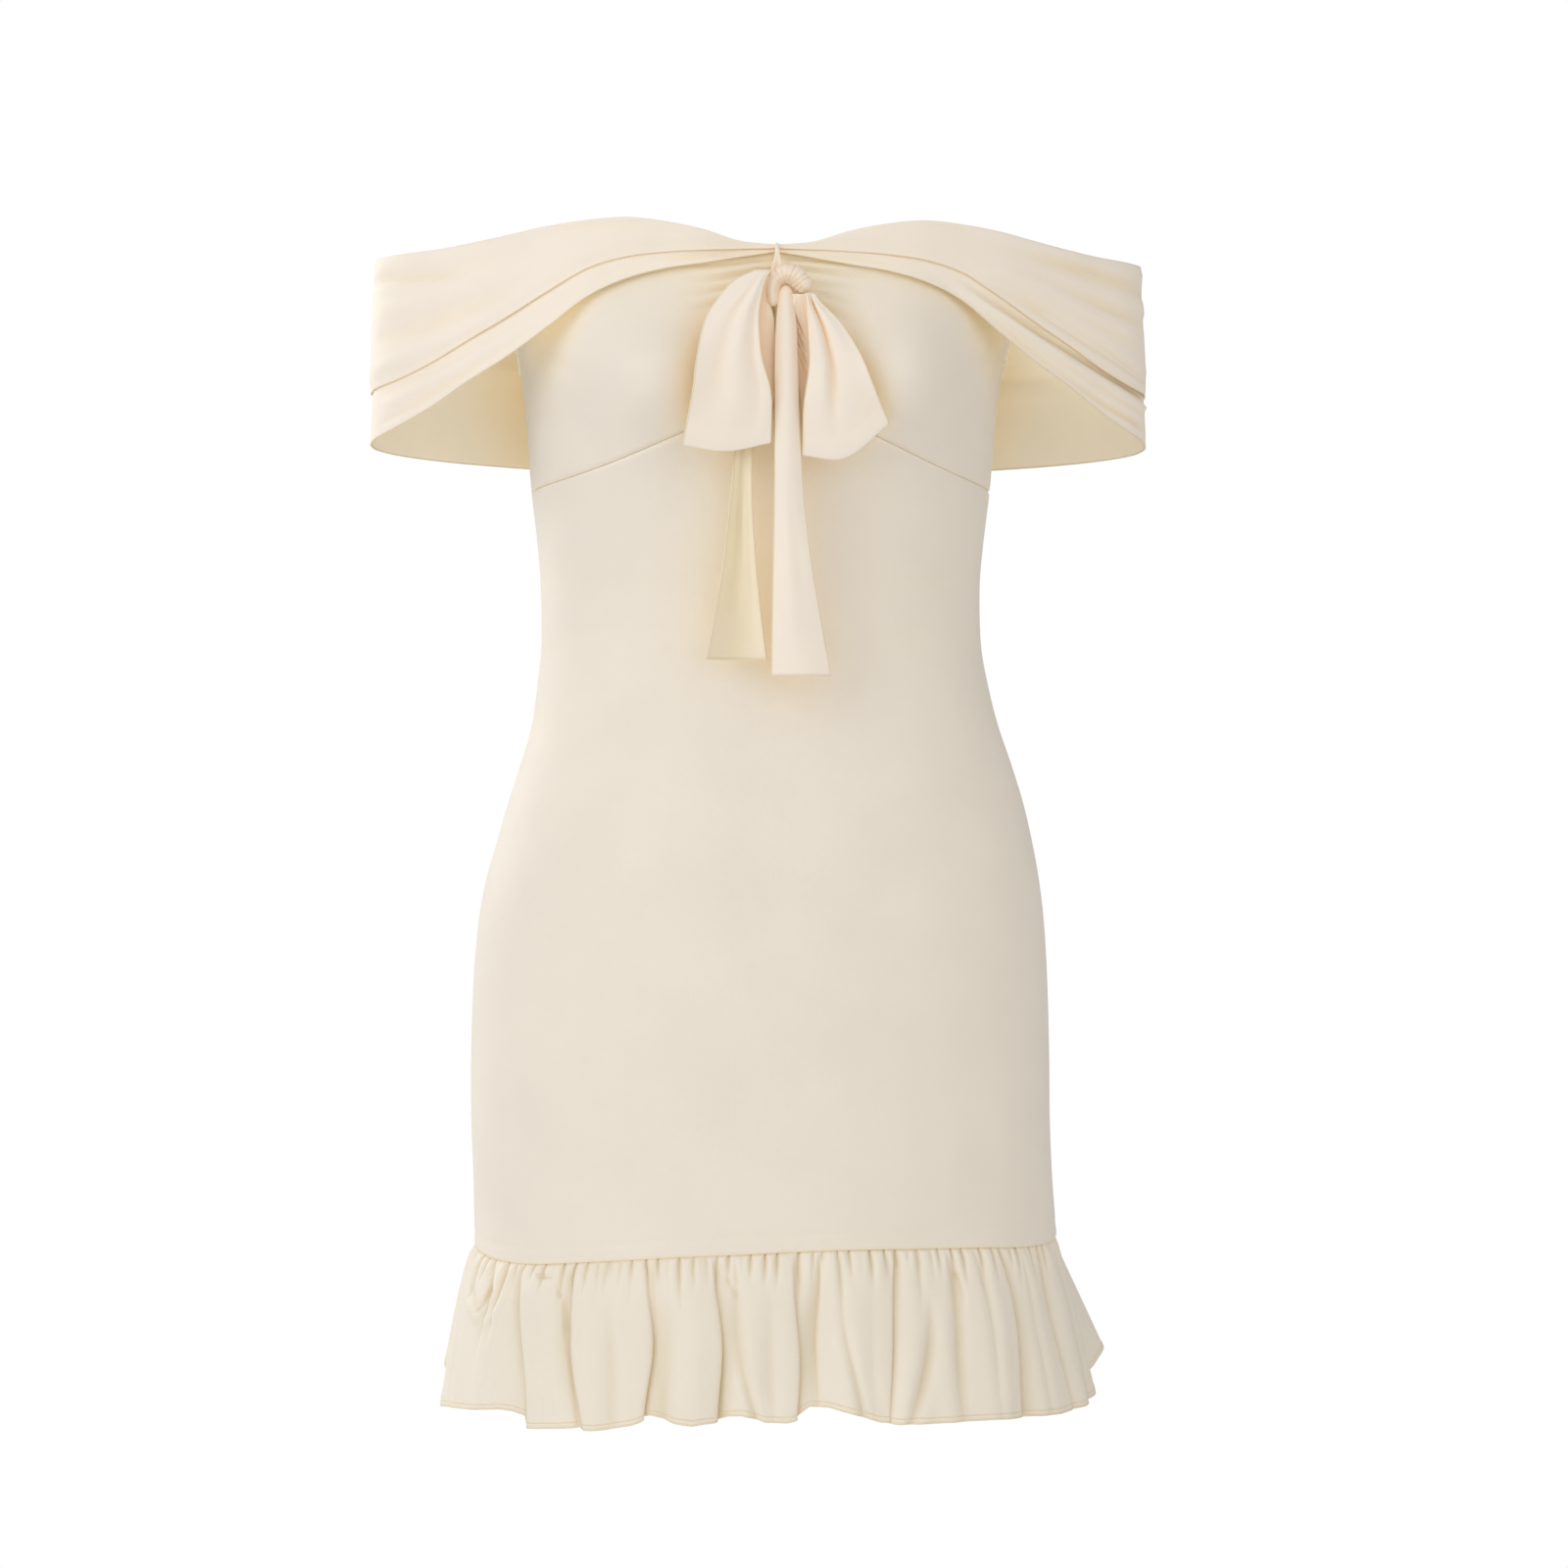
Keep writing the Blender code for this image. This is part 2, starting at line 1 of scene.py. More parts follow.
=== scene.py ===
import bpy
import bmesh
import math
import numpy as np
from mathutils import Matrix, Vector


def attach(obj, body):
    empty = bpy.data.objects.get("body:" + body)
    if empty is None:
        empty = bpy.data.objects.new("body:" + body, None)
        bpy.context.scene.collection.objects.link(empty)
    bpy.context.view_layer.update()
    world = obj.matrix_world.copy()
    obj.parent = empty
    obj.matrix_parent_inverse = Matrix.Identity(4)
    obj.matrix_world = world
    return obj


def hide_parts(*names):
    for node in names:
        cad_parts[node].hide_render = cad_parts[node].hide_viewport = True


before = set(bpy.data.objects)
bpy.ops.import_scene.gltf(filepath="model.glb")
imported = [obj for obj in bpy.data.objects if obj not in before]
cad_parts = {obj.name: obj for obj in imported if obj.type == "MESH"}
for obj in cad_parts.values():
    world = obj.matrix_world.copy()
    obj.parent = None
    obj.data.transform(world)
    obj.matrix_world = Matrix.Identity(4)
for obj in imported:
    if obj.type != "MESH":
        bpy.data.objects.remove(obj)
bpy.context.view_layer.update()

# Lengths are in millimetres and turns in degrees. The front faces -Y and +Z is up.
mm = 0.001
clothWall = 0.8


def lerp(a, b, t):
    return a + (b - a) * t


def ease(t):
    t = np.clip(t, 0, 1)
    return t * t * (3 - 2 * t)


def bell(distance, width):
    return np.exp(-((distance / width) ** 2))


# value on a smooth curve through a few keys, for a whole array at once
def curveAt(keys, values, at):
    keys, values = np.asarray(keys, float), np.asarray(values, float)
    if keys[0] > keys[-1]:
        keys, values = keys[::-1], values[::-1]
    before = np.maximum(np.arange(len(keys)) - 1, 0)
    after = np.minimum(np.arange(len(keys)) + 1, len(keys) - 1)
    slopes = (values[after] - values[before]) / (keys[after] - keys[before])
    at = np.clip(at, keys[0], keys[-1])
    i = np.clip(np.searchsorted(keys, at) - 1, 0, len(keys) - 2)
    width = keys[i + 1] - keys[i]
    t = (at - keys[i]) / width
    rise = slopes[i] * width * t * (1 - t) ** 2 - slopes[i + 1] * width * t * t * (1 - t)
    return lerp(values[i], values[i + 1], t * t * (3 - 2 * t)) + rise


# the larger of two values, with the corner between them rounded off
def softMax(a, b, round=30):
    return (a + b + np.sqrt((a - b) ** 2 + round)) / 2


def slopeAt(keys, values, at, step):
    return curveAt(keys, values, at + step) - curveAt(keys, values, at - step)


# length along a path up to each of its points
def wayAlong(path):
    return np.concatenate([[0], np.cumsum(np.linalg.norm(np.diff(path, axis=0), axis=1))])


def addObject(name, data):
    piece = bpy.data.objects.new(name, data)
    bpy.context.scene.collection.objects.link(piece)
    return piece


# camera, at the photo's angle: level, and turned 5 degrees to the wearer's right
view = {"turn": -5.0, "distance": 2400.0, "aside": 13.2, "height": -289.0, "across": 880.0}


def addCamera():
    turn = math.radians(view["turn"])
    right = Vector((math.cos(turn), math.sin(turn), 0))
    toward = Vector((math.sin(turn), -math.cos(turn), 0))
    lens = bpy.data.cameras.new("photoCamera")
    lens.sensor_width = 36
    lens.lens = 36 * view["distance"] / view["across"]
    camera = addObject("photoCamera", lens)
    camera.matrix_world = Matrix((right, Vector((0, 0, 1)), toward)).transposed().to_4x4()
    place = right * view["aside"] + toward * view["distance"] + Vector((0, 0, view["height"]))
    camera.location = place * mm
    bpy.context.scene.camera = camera


addCamera()

# cloth and thread finishes: each has its own colour, and a deep colour that the cloth turns to in its
# hollows, which is painted shade and painted warm bounce light
finishes = {
    "creamBodyKnit": {"colour": (0.745, 0.69, 0.612), "deep": (1.0, 0.865, 0.60)},
    "creamRuffleKnit": {"colour": (0.75, 0.695, 0.605), "deep": (0.80, 0.68, 0.47)},
    "creamBandKnit": {"colour": (0.80, 0.73, 0.642), "deep": (1.0, 0.84, 0.585)},
    # painted light: the band's inner side is painted paler and warmer, standing in for light coming through
    # the thin cloth
    "creamBandInsidePaintedLight": {"colour": (0.985, 0.915, 0.76), "deep": (1.0, 0.85, 0.57)},
    "creamBowKnit": {"colour": (0.80, 0.73, 0.645), "deep": (1.0, 0.80, 0.60)},
    # painted shade: the turned-over tail's face is painted darker and yellower than the bow; painted light:
    # the loops' inner side is painted paler
    "creamTailInsidePaintedShade": {"colour": (0.77, 0.69, 0.545), "deep": (0.88, 0.76, 0.51)},
    "creamBowInsidePaintedLight": {"colour": (0.87, 0.78, 0.655), "deep": (0.97, 0.74, 0.52)},
    "edgeThread": {"colour": (0.73, 0.645, 0.50), "deep": (0.79, 0.63, 0.41), "grain": 1.4, "bump": 0.35},
}


def addNode(tree, kind, values):
    node = tree.nodes.new(kind)
    for name, value in values.items():
        node.inputs[name].default_value = value
    return node


# a math node fed by sockets and plain numbers
def addMath(tree, operation, *feeds):
    node = tree.nodes.new("ShaderNodeMath")
    node.operation = operation
    for socket, feed in zip(node.inputs, feeds):
        if isinstance(feed, float):
            socket.default_value = feed
        else:
            tree.links.new(feed, socket)
    return node.outputs[0]


def addRange(tree, feed, found, wanted):
    node = addNode(tree, "ShaderNodeMapRange", {
        "From Min": found[0], "From Max": found[1], "To Min": wanted[0], "To Max": wanted[1],
    })
    tree.links.new(feed, node.inputs["Value"])
    return node.outputs["Result"]


# one group for every cloth: faint knit courses, soft mottling, a little uneven roughness, and painted
# light and shade in the hollows: a painted warm colour standing in for light gone from layer to layer, and
# painted darkening of the creases
def makeKnitGroup():
    group = bpy.data.node_groups.new("fineKnitAndPaintedShade", "ShaderNodeTree")
    for name, side, kind in (
        ("Colour", "INPUT", "Color"), ("Painted Shade Colour", "INPUT", "Color"), ("Grain", "INPUT", "Float"),
        ("Colour", "OUTPUT", "Color"), ("Roughness", "OUTPUT", "Float"), ("Height", "OUTPUT", "Float"),
    ):
        group.interface.new_socket(name, in_out=side, socket_type="NodeSocket" + kind)
    link = group.links.new
    source = group.nodes.new("NodeGroupInput").outputs
    result = group.nodes.new("NodeGroupOutput").inputs
    cloth = group.nodes.new("ShaderNodeUVMap")
    cloth.uv_map = "cloth"
    space = group.nodes.new("ShaderNodeTexCoord")

    courses = addNode(
        group, "ShaderNodeTexWave", {"Scale": 300, "Distortion": 1.2, "Detail": 1, "Detail Scale": 2}
    )
    courses.bands_direction = "Y"
    wales = addNode(group, "ShaderNodeTexWave", {"Scale": 420, "Distortion": 0.8})
    wales.bands_direction = "X"
    fuzz = addNode(group, "ShaderNodeTexNoise", {"Scale": 900, "Detail": 3})
    mottle = addNode(group, "ShaderNodeTexNoise", {"Scale": 22, "Detail": 4})
    for pattern in (courses, wales):
        link(cloth.outputs["UV"], pattern.inputs["Vector"])
    for pattern in (fuzz, mottle):
        link(space.outputs["Object"], pattern.inputs["Vector"])
    weave = addMath(group, "MULTIPLY", courses.outputs["Fac"], wales.outputs["Fac"])
    raised = addMath(group, "MULTIPLY_ADD", fuzz.outputs["Fac"], 0.6, weave)
    link(addMath(group, "MULTIPLY", raised, source["Grain"]), result["Height"])

    # painted shade: ambient occlusion and the grid's hollow mask choose where the colour turns to the
    # painted shade colour
    paintedHollowShade = addNode(group, "ShaderNodeAmbientOcclusion", {"Distance": 0.045})
    paintedHollowShade.samples = 6
    sunk = group.nodes.new("ShaderNodeAttribute")
    sunk.attribute_name = "paintedHollowShade"
    paintedWarmShade, paintedShadeAndMottle = [group.nodes.new("ShaderNodeMix") for k in range(2)]
    paintedWarmShade.data_type = paintedShadeAndMottle.data_type = "RGBA"
    paintedShadeAndMottle.blend_type = "MULTIPLY"
    paintedShadeAndMottle.inputs["Factor"].default_value = 1
    depth = addRange(group, paintedHollowShade.outputs["AO"], (0.95, 0.35), (0, 1))
    link(addMath(group, "MAXIMUM", depth, sunk.outputs["Fac"]), paintedWarmShade.inputs["Factor"])
    link(source["Colour"], paintedWarmShade.inputs["A"])
    link(source["Painted Shade Colour"], paintedWarmShade.inputs["B"])
    # painted shade: the hollow mask also darkens the colour in creases; the mottle is the cloth's own
    # uneven tone
    paintedCreaseShade = addRange(group, sunk.outputs["Fac"], (0, 1), (1.0, 0.78))
    uneven = addRange(group, mottle.outputs["Fac"], (0.3, 0.7), (0.975, 1.015))
    link(paintedWarmShade.outputs["Result"], paintedShadeAndMottle.inputs["A"])
    link(addMath(group, "MULTIPLY", paintedCreaseShade, uneven), paintedShadeAndMottle.inputs["B"])
    link(paintedShadeAndMottle.outputs["Result"], result["Colour"])
    link(addRange(group, fuzz.outputs["Fac"], (0, 1), (0.58, 0.72)), result["Roughness"])
    return group


def newMaterial(name, values):
    material = bpy.data.materials.new(name)
    material.use_nodes = True
    shader = material.node_tree.nodes["Principled BSDF"]
    for socket, value in values.items():
        shader.inputs[socket].default_value = value
    return material, material.node_tree, shader


def makeClothMaterial(name, finish, group):
    look = {"Sheen Weight": 0.12, "Sheen Roughness": 0.4, "Specular IOR Level": 0.35}
    material, tree, shader = newMaterial(name, look)
    knit = tree.nodes.new("ShaderNodeGroup")
    knit.node_tree = group
    knit.inputs["Colour"].default_value = (*finish["colour"], 1)
    knit.inputs["Painted Shade Colour"].default_value = (*finish["deep"], 1)
    knit.inputs["Grain"].default_value = finish.get("grain", 1.0)
    bump = addNode(tree, "ShaderNodeBump", {"Strength": finish.get("bump", 0.22), "Distance": 0.00012})
    link = tree.links.new
    link(knit.outputs["Colour"], shader.inputs["Base Color"])
    link(knit.outputs["Roughness"], shader.inputs["Roughness"])
    link(knit.outputs["Height"], bump.inputs["Height"])
    link(bump.outputs["Normal"], shader.inputs["Normal"])
    return material


def makeTapeMaterial():
    look = {"Base Color": (1.0, 0.98, 0.94, 1), "Alpha": 0.45}
    material, tree, shader = newMaterial("clearElastic", look)
    streaks = addNode(tree, "ShaderNodeTexNoise", {"Scale": 260})
    space = tree.nodes.new("ShaderNodeTexCoord")
    tree.links.new(space.outputs["Object"], streaks.inputs["Vector"])
    gloss = addRange(tree, streaks.outputs["Fac"], (0, 1), (0.12, 0.32))
    tree.links.new(gloss, shader.inputs["Roughness"])
    return material


knitGroup = makeKnitGroup()
cloths = {name: makeClothMaterial(name, finish, knitGroup) for name, finish in finishes.items()}
# painted light: the inner sides of the band and the bow loops wear paler painted copies of their cloth
paintedLightInsides = {"creamBandKnit": "creamBandInsidePaintedLight", "creamBowKnit": "creamBowInsidePaintedLight"}
clearTape = makeTapeMaterial()
print("materials made")


# making cloth: a grid is laid on its form, then raised or sunk along its own normals
def packed(t, amount):
    return t - amount * np.sin(2 * np.pi * t) / (2 * np.pi)


def moveTo(bm, points):
    for vert, point in zip(bm.verts, points * mm):
        vert.co = point


# how far each point of a grid lies sunk between its neighbours, near and further away: the mask for painted
# shade in creases
def hollowness(at, points, normals):
    order = np.lexsort((at[:, 0], at[:, 1]))
    across = len(np.unique(np.round(at[:, 0], 6)))
    grid = points[order].reshape(-1, across, 3)
    facing = normals[order].reshape(-1, across, 3)
    found = np.zeros(grid.shape[:2])
    for reach, gain in ((2.2, 1.45), (7.0, 1.8), (14.0, 1.3)):
        for axis in (0, 1):
            spacing = np.median(np.linalg.norm(np.diff(grid, axis=axis), axis=2))
            step = max(1, int(round(reach / spacing)))
            last = grid.shape[axis] - 1
            ahead = np.take(grid, np.minimum(np.arange(last + 1) + step, last), axis)
            behind = np.take(grid, np.maximum(np.arange(last + 1) - step, 0), axis)
            away = np.linalg.norm(ahead - grid, axis=2) + np.linalg.norm(behind - grid, axis=2)
            sunk = np.sum(((ahead + behind) / 2 - grid) * facing, axis=2) / (away / 2 + 1e-6)
            inner = np.minimum(np.arange(last + 1), last - np.arange(last + 1)) >= step
            sunk = sunk * (inner[:, None] if axis == 0 else inner[None, :])
            found = np.maximum(found, gain * (sunk - 0.03))
    result = np.zeros(len(points))
    result[order] = np.clip(found, 0, 1).reshape(-1)
    return result


def clothGrid(
    name, columns, rows, place, relief, flat, pack=(0.85, 0.85), wall=clothWall, joined=False, doubled=False
):
    bm = bmesh.new()
    uvLayer = bm.loops.layers.uv.new("cloth")
    bmesh.ops.create_grid(bm, x_segments=columns, y_segments=rows, size=0.5)
    at = np.array([v.co[:2] for v in bm.verts]) + 0.5
    u, v = packed(at[:, 0], pack[0]), packed(at[:, 1], pack[1])
    points = place(u, v)
    moveTo(bm, points)
    bm.normal_update()
    if relief:
        normals = np.array([p.normal[:] for p in bm.verts])
        points = points + normals * relief(u, v, points)[:, None]
        moveTo(bm, points)
        bm.normal_update()
    normals = np.array([p.normal[:] for p in bm.verts])
    seen = np.where(doubled & (u > 0.5), -1, 1)  # a loop's rear layer is seen from inside
    # painted shade: the mask is stored on the cloth for its material to paint the hollows
    paintedHollowShade = hollowness(at, points, normals * seen[:, None])
    paintedHollowShadeLayer = bm.verts.layers.float.new("paintedHollowShade")
    bm.verts.index_update()
    for vert in bm.verts:
        vert[paintedHollowShadeLayer] = paintedHollowShade[vert.index]
    for face in bm.faces:
        for loop in face.loops:
            i = loop.vert.index
            loop[uvLayer].uv = (u[i] * flat[0], v[i] * flat[1])
    if joined:
        bmesh.ops.remove_doubles(bm, verts=bm.verts, dist=0.00001)
    mesh = bpy.data.meshes.new(name)
    bm.to_mesh(mesh)
    bm.free()
    mesh.shade_smooth()
    piece = addObject(name, mesh)
    solid = piece.modifiers.new("wall", "SOLIDIFY")
    solid.thickness = wall * mm
    solid.offset = -1
    solid.material_offset = 0 if joined or wall == clothWall else 1
    return {"piece": piece, "u": u, "v": v, "points": points, "normals": normals, "wall": wall}


def dress(cloth, finish, node, flat, held, **more):
    piece = cloth["piece"]
    piece.data.materials.append(cloths[finish])
    if finish in paintedLightInsides:
        piece.data.materials.append(cloths[paintedLightInsides[finish]])
    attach(piece, "root")
    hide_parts(node)


# the middle of the cloth's thickness along one side of a grid
def sideOf(cloth, side):
    along, across = ("v", "u") if side in ("left", "right") else ("u", "v")
    end = 1 if side in ("right", "top") else 0
    on = np.abs(cloth[across] - end) < 1e-6
    order = np.argsort(cloth[along][on])
    middle = cloth["points"] - cloth["normals"] * cloth["wall"] / 2
    return middle[on][order]


# overlocked edge: a thin ribbed cord of thread round the cloth's edge
def threadEdge(name, path, radius, pitch=1.5):
    steps = wayAlong(path)
    count = max(int(steps[-1] / pitch) * 2, 4)
    at = np.linspace(0, steps[-1], count)
    points = np.stack([np.interp(at, steps, path[:, k]) for k in range(3)], axis=1) * mm
    curve = bpy.data.curves.new(name, "CURVE")
    curve.dimensions = "3D"
    curve.bevel_depth = radius * mm
    curve.bevel_resolution = 1
    curve.use_fill_caps = True
    spline = curve.splines.new("POLY")
    spline.points.add(count - 1)
    for k, point in enumerate(spline.points):
        point.co = (*points[k], 1)
        point.radius = 1.0 if k % 2 else 0.8
    guide = addObject(name + "Guide", curve)
    bpy.context.view_layer.update()
    shown = guide.evaluated_get(bpy.context.evaluated_depsgraph_get())
    mesh = bpy.data.meshes.new_from_object(shown)
    bpy.data.objects.remove(guide)
    bm = bmesh.new()
    bm.from_mesh(mesh)
    bmesh.ops.remove_doubles(bm, verts=bm.verts, dist=0.00001)
    bmesh.ops.recalc_face_normals(bm, faces=bm.faces)
    if bm.calc_volume(signed=True) < 0:
        bmesh.ops.reverse_faces(bm, faces=bm.faces)
    bm.to_mesh(mesh)
    bm.free()
    mesh.name = name
    mesh.shade_smooth()
    piece = addObject(name, mesh)
    mesh.materials.append(cloths["edgeThread"])
    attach(piece, "root")
    return piece


# soft folds: each row is a curved line across the cloth by its start, middle and end, then its
# width, its depth (minus sinks), and, unless both are 0.31, the shares over which it comes and goes
def foldField(across, up, rows):
    total = np.zeros_like(across)
    for x0, z0, x1, z1, x2, z2, width, depth, *fades in rows:
        fadeIn, fadeOut = fades or (0.31, 0.31)
        t = np.linspace(0, 1, 17)
        lineX = (1 - t) ** 2 * x0 + 2 * t * (1 - t) * x1 + t * t * x2
        lineZ = (1 - t) ** 2 * z0 + 2 * t * (1 - t) * z1 + t * t * z2
        near, share = np.full_like(across, 1e9), np.zeros_like(across)
        for k in range(16):
            dx, dz = lineX[k + 1] - lineX[k], lineZ[k + 1] - lineZ[k]
            s = ((across - lineX[k]) * dx + (up - lineZ[k]) * dz) / (dx * dx + dz * dz)
            s = np.clip(s, 0, 1)
            away = np.hypot(across - lineX[k] - s * dx, up - lineZ[k] - s * dz)
            closer = away < near
            near = np.where(closer, away, near)
            share = np.where(closer, (k + s) / 16, share)
        taper = ease(share / fadeIn) * ease((1 - share) / fadeOut)
        wide = width * (0.6 + 0.7 * share)
        shape = (1 - 0.55 * (near / wide) ** 2) * np.exp(-0.75 * (near / wide) ** 2)
        total += depth * taper * shape
    return total


# the form of the body under the cloth
bodyShape = {
    "columns": ("z", "halfWidth", "front", "back", "power", "sway"),
    "rows": (
        (25, 144.5, 102, 84, 3.1, 0), (0, 141.5, 103, 86, 3, 0), (-36, 137, 105, 88, 2.8, 0),
        (-60, 133.4, 105, 88.35, 2.67, 0), (-85, 130.4, 102.8, 87.45, 2.56, 0),
        (-124, 127.5, 96, 84, 2.4, 0), (-157, 123.8, 88.81, 79.15, 2.34, 0), (-179, 122.2, 86, 77, 2.3, 0),
        (-212, 122.5, 85.66, 76.59, 2.3, 0.6), (-234, 125.6, 88, 79, 2.3, 1.4),
        (-256, 129.9, 91.2, 83.4, 2.3, 2.6), (-278, 136.8, 95.01, 88.9, 2.3, 3.2),
        (-300, 143.7, 98.62, 95, 2.3, 3.1), (-322, 149.4, 101.1, 101.1, 2.3, 2.5),
        (-344, 154.4, 103.1, 106.7, 2.3, 1.4), (-366, 157.6, 104.4, 110.8, 2.3, 0.7),
        (-399, 159.9, 105, 115, 2.3, 0.2), (-443, 161.1, 104.8, 115.6, 2.3, 0),
        (-476, 161.2, 104, 113, 2.3, 0.2), (-509, 161.3, 103, 109, 2.3, 1.5),
        (-545, 162.4, 102.3, 106.1, 2.3, 3.2), (-565, 163, 102, 105, 2.3, 3.4),
    ),
    "cupDepth": 27, "cupX": 72, "cupZ": -72, "cupWidth": 37, "cupHeight": 36,
    "skin": 0.8,  # the cloth's face lies this far outside these sections
    "halfGirth": 480,  # rough length of one piece from side to side
    "seamGap": 0.15,  # from the middle of the underbust seam to each cloth
    "hemZ": -543.0,
    "hemPlaces": (-165, -158, -150, -132, -100, -59, -17, 31, 80, 113, 144, 160, 168),
    "hemHeights": (
        -545, -547.2, -549.6, -550, -547.1, -543.9, -542, -540.2, -540.6, -541.6, -543.6, -543.2, -542.6,
    ),
    "neckAngles": (0, 6, 13, 21, 30, 40, 54, 70, 90, 112, 130, 146, 180),
    "neckHeights": (-2.4, 0, 7, 11.2, 13.4, 11.5, 1, -19, -30, -21, -6, 1, 2.8),
}


def rounded(value, power):
    return np.sign(value) * np.abs(value) ** (2 / power)


def bodySize(z, name):
    rows = np.array(bodyShape["rows"], float)
    return curveAt(rows[:, 0], rows[:, bodyShape["columns"].index(name)], z)


def cupOut(x, z):
    across = (np.abs(x) - bodyShape["cupX"]) / bodyShape["cupWidth"]
    upright = (z - bodyShape["cupZ"]) / bodyShape["cupHeight"]
    return bodyShape["cupDepth"] * np.exp(-across * across - upright * upright)


def bodyPoint(angle, z):
    turn, power = np.radians(angle), bodySize(z, "power")
    x = bodySize(z, "halfWidth") * rounded(np.sin(turn), power)
    depth = rounded(np.cos(turn), power)
    fade = 1 - (1 - np.clip(np.cos(turn), 0, 1)) ** 3
    front = -bodySize(z, "front") * depth - cupOut(x, z) * fade
    back = -bodySize(z, "back") * depth
    return np.stack([x + bodySize(z, "sway"), np.where(np.cos(turn) < 0, back, front), z + 0 * x], axis=-1)


def bodyNormal(angle, z):
    along = bodyPoint(angle + 0.4, z) - bodyPoint(angle - 0.4, z)
    up = bodyPoint(angle, z + 0.5) - bodyPoint(angle, z - 0.5)
    outward = np.cross(along, up)
    return outward / np.linalg.norm(outward, axis=-1, keepdims=True)


# how far the body stands out at a place seen from the front or from behind
def bodyDepth(x, z, side):
    share = np.clip(np.abs(x) / bodySize(z, "halfWidth"), 0, 1)
    power = bodySize(z, "power")
    plain = bodySize(z, side) * (1 - share**power) ** (1 / power)
    return plain + cupOut(x, z) * (1 - share**8) if side == "front" else plain


def neckZ(angle):
    fromFront = np.where(angle > 180, 360 - angle, np.abs(angle))
    return curveAt(bodyShape["neckAngles"], bodyShape["neckHeights"], fromFront)


def underbustZ(angle):
    share = np.abs(np.sin(np.radians(angle))) ** 0.85
    return -79 - 47 * (share + np.sin(share * np.pi / 2)) / 2


def hemZ(x):
    return curveAt(bodyShape["hemPlaces"], bodyShape["hemHeights"], x)


# a panel covers half the body, from its lower line to its upper line
def panelPlace(first, lower, upper):
    def place(u, v):
        angle = 180 * u + first
        z = lerp(lower(angle), upper(angle), v)
        return bodyPoint(angle, z) + bodyNormal(angle, z) * bodyShape["skin"]
    return place


def panelHem(angle):
    return hemZ(bodyPoint(angle, 0 * angle + bodyShape["hemZ"])[:, 0])


# a panel's edge turns in a little where it is sewn to its neighbour
def seamRoll(distance, depth=1.0, width=1.3):
    return -depth * bell(distance, width)


# faint unevenness of hanging cloth
def ripple(points, size, height):
    x, y, z = points[:, 0] / size, points[:, 1] / size, points[:, 2] / size
    waves = np.sin(1.7 * x + 0.6 * z + 1.1) * np.sin(1.1 * z + 0.4 * x + 2.0 + 0.5 * y)
    waves = waves + 0.6 * np.sin(2.9 * x - 1.3 * z + 0.3 * y) * np.sin(0.7 * z + 2.3 * y)
    return height * waves


# bust panel: gathered at the centre front, cupped at the sides
bust = {
    "grid": (260, 120),
    "flat": (0.44, 0.135),
    "across": 420,  # rough lengths along the cloth, which set the width of its seams
    "high": 120,
    # fold lines seen from the front
    "gathers": (
        (-3, -7, -30, -12, -62, -12, 1.7, -1.1, 0.1, 0.7),
        (-3, -11, -28, -21, -58, -19.5, 1.9, -1.3, 0.1, 0.6),
        (-3, -15, -32, -28, -60, -26.5, 2, -1.2, 0.1, 0.6),
        (-3, -20, -32, -36, -56, -34, 2.2, -1, 0.1, 0.6),
        (-3, -26, -20, -38, -38, -60, 2.8, -0.8, 0.1, 0.8),
        (-3, -9, -28, -16, -56, -16, 1.6, 0.8, 0.1, 0.8), (-3, -17, -30, -31, -56, -30, 2, 0.8, 0.1, 0.8),
        (5, -7, 28, -8, 54, -10, 1.6, -1, 0.1, 0.7), (5, -12, 30, -15.5, 60, -17, 1.9, -1.4, 0.1, 0.5),
        (5, -17, 24, -27, 48, -33, 2.1, -1.3, 0.1, 0.5), (5, -20, 34, -22, 66, -25, 2.2, -0.9, 0.1, 0.7),
        (5, -24, 28, -37, 48, -43, 2.2, -1.2, 0.1, 0.5), (5, -28, 26, -46, 42, -58, 2.8, -0.8, 0.1, 0.8),
        (5, -9, 28, -12, 56, -13.5, 1.6, 0.8, 0.1, 0.8), (5, -19, 28, -31, 50, -38, 2, 0.8, 0.1, 0.8),
        # soft drags from the underarms into the cups
        (-124, -52, -112, -66, -96, -74, 5, -0.5), (126, -50, 114, -64, 98, -72, 5, -0.5),
    ),
}


def bustHem(angle):
    return underbustZ(angle) + bodyShape["seamGap"]


def frontTop(angle):
    return underbustZ(angle) - bodyShape["seamGap"]


def bustRelief(u, v, points):
    seams = seamRoll(np.minimum(u, 1 - u) * bust["across"]) + seamRoll(v * bust["high"])
    return foldField(points[:, 0], points[:, 2], bust["gathers"]) + seams + ripple(points, 60, 0.18)


bustPlace = panelPlace(-90, bustHem, neckZ)
bustCloth = clothGrid("bustCloth", *bust["grid"], bustPlace, bustRelief, bust["flat"])
dress(bustCloth, "creamBodyKnit", "bust_panel", bust["flat"], "gathered")

# front of the waist and skirt
front = {
    "grid": (150, 160),
    "flat": (0.37, 0.47),
    "high": 440,
    "folds": (
        (-118, -176, -84, -186, -40, -184, 6, -0.35), (118, -168, 88, -180, 50, -186, 6, -0.4),
        (-122, -206, -96, -208, -60, -202, 5, -0.3), (122, -204, 92, -212, 56, -206, 6, -0.35),
        (-60, -240, -72, -300, -66, -360, 16, 0.35), (74, -250, 86, -310, 80, -380, 16, 0.35),
        (-20, -420, -26, -480, -22, -530, 14, -0.3), (52, -440, 60, -490, 54, -535, 12, -0.3),
        (-104, -450, -110, -500, -104, -536, 11, -0.35), (112, -430, 118, -480, 112, -530, 11, -0.35),
    ),
}


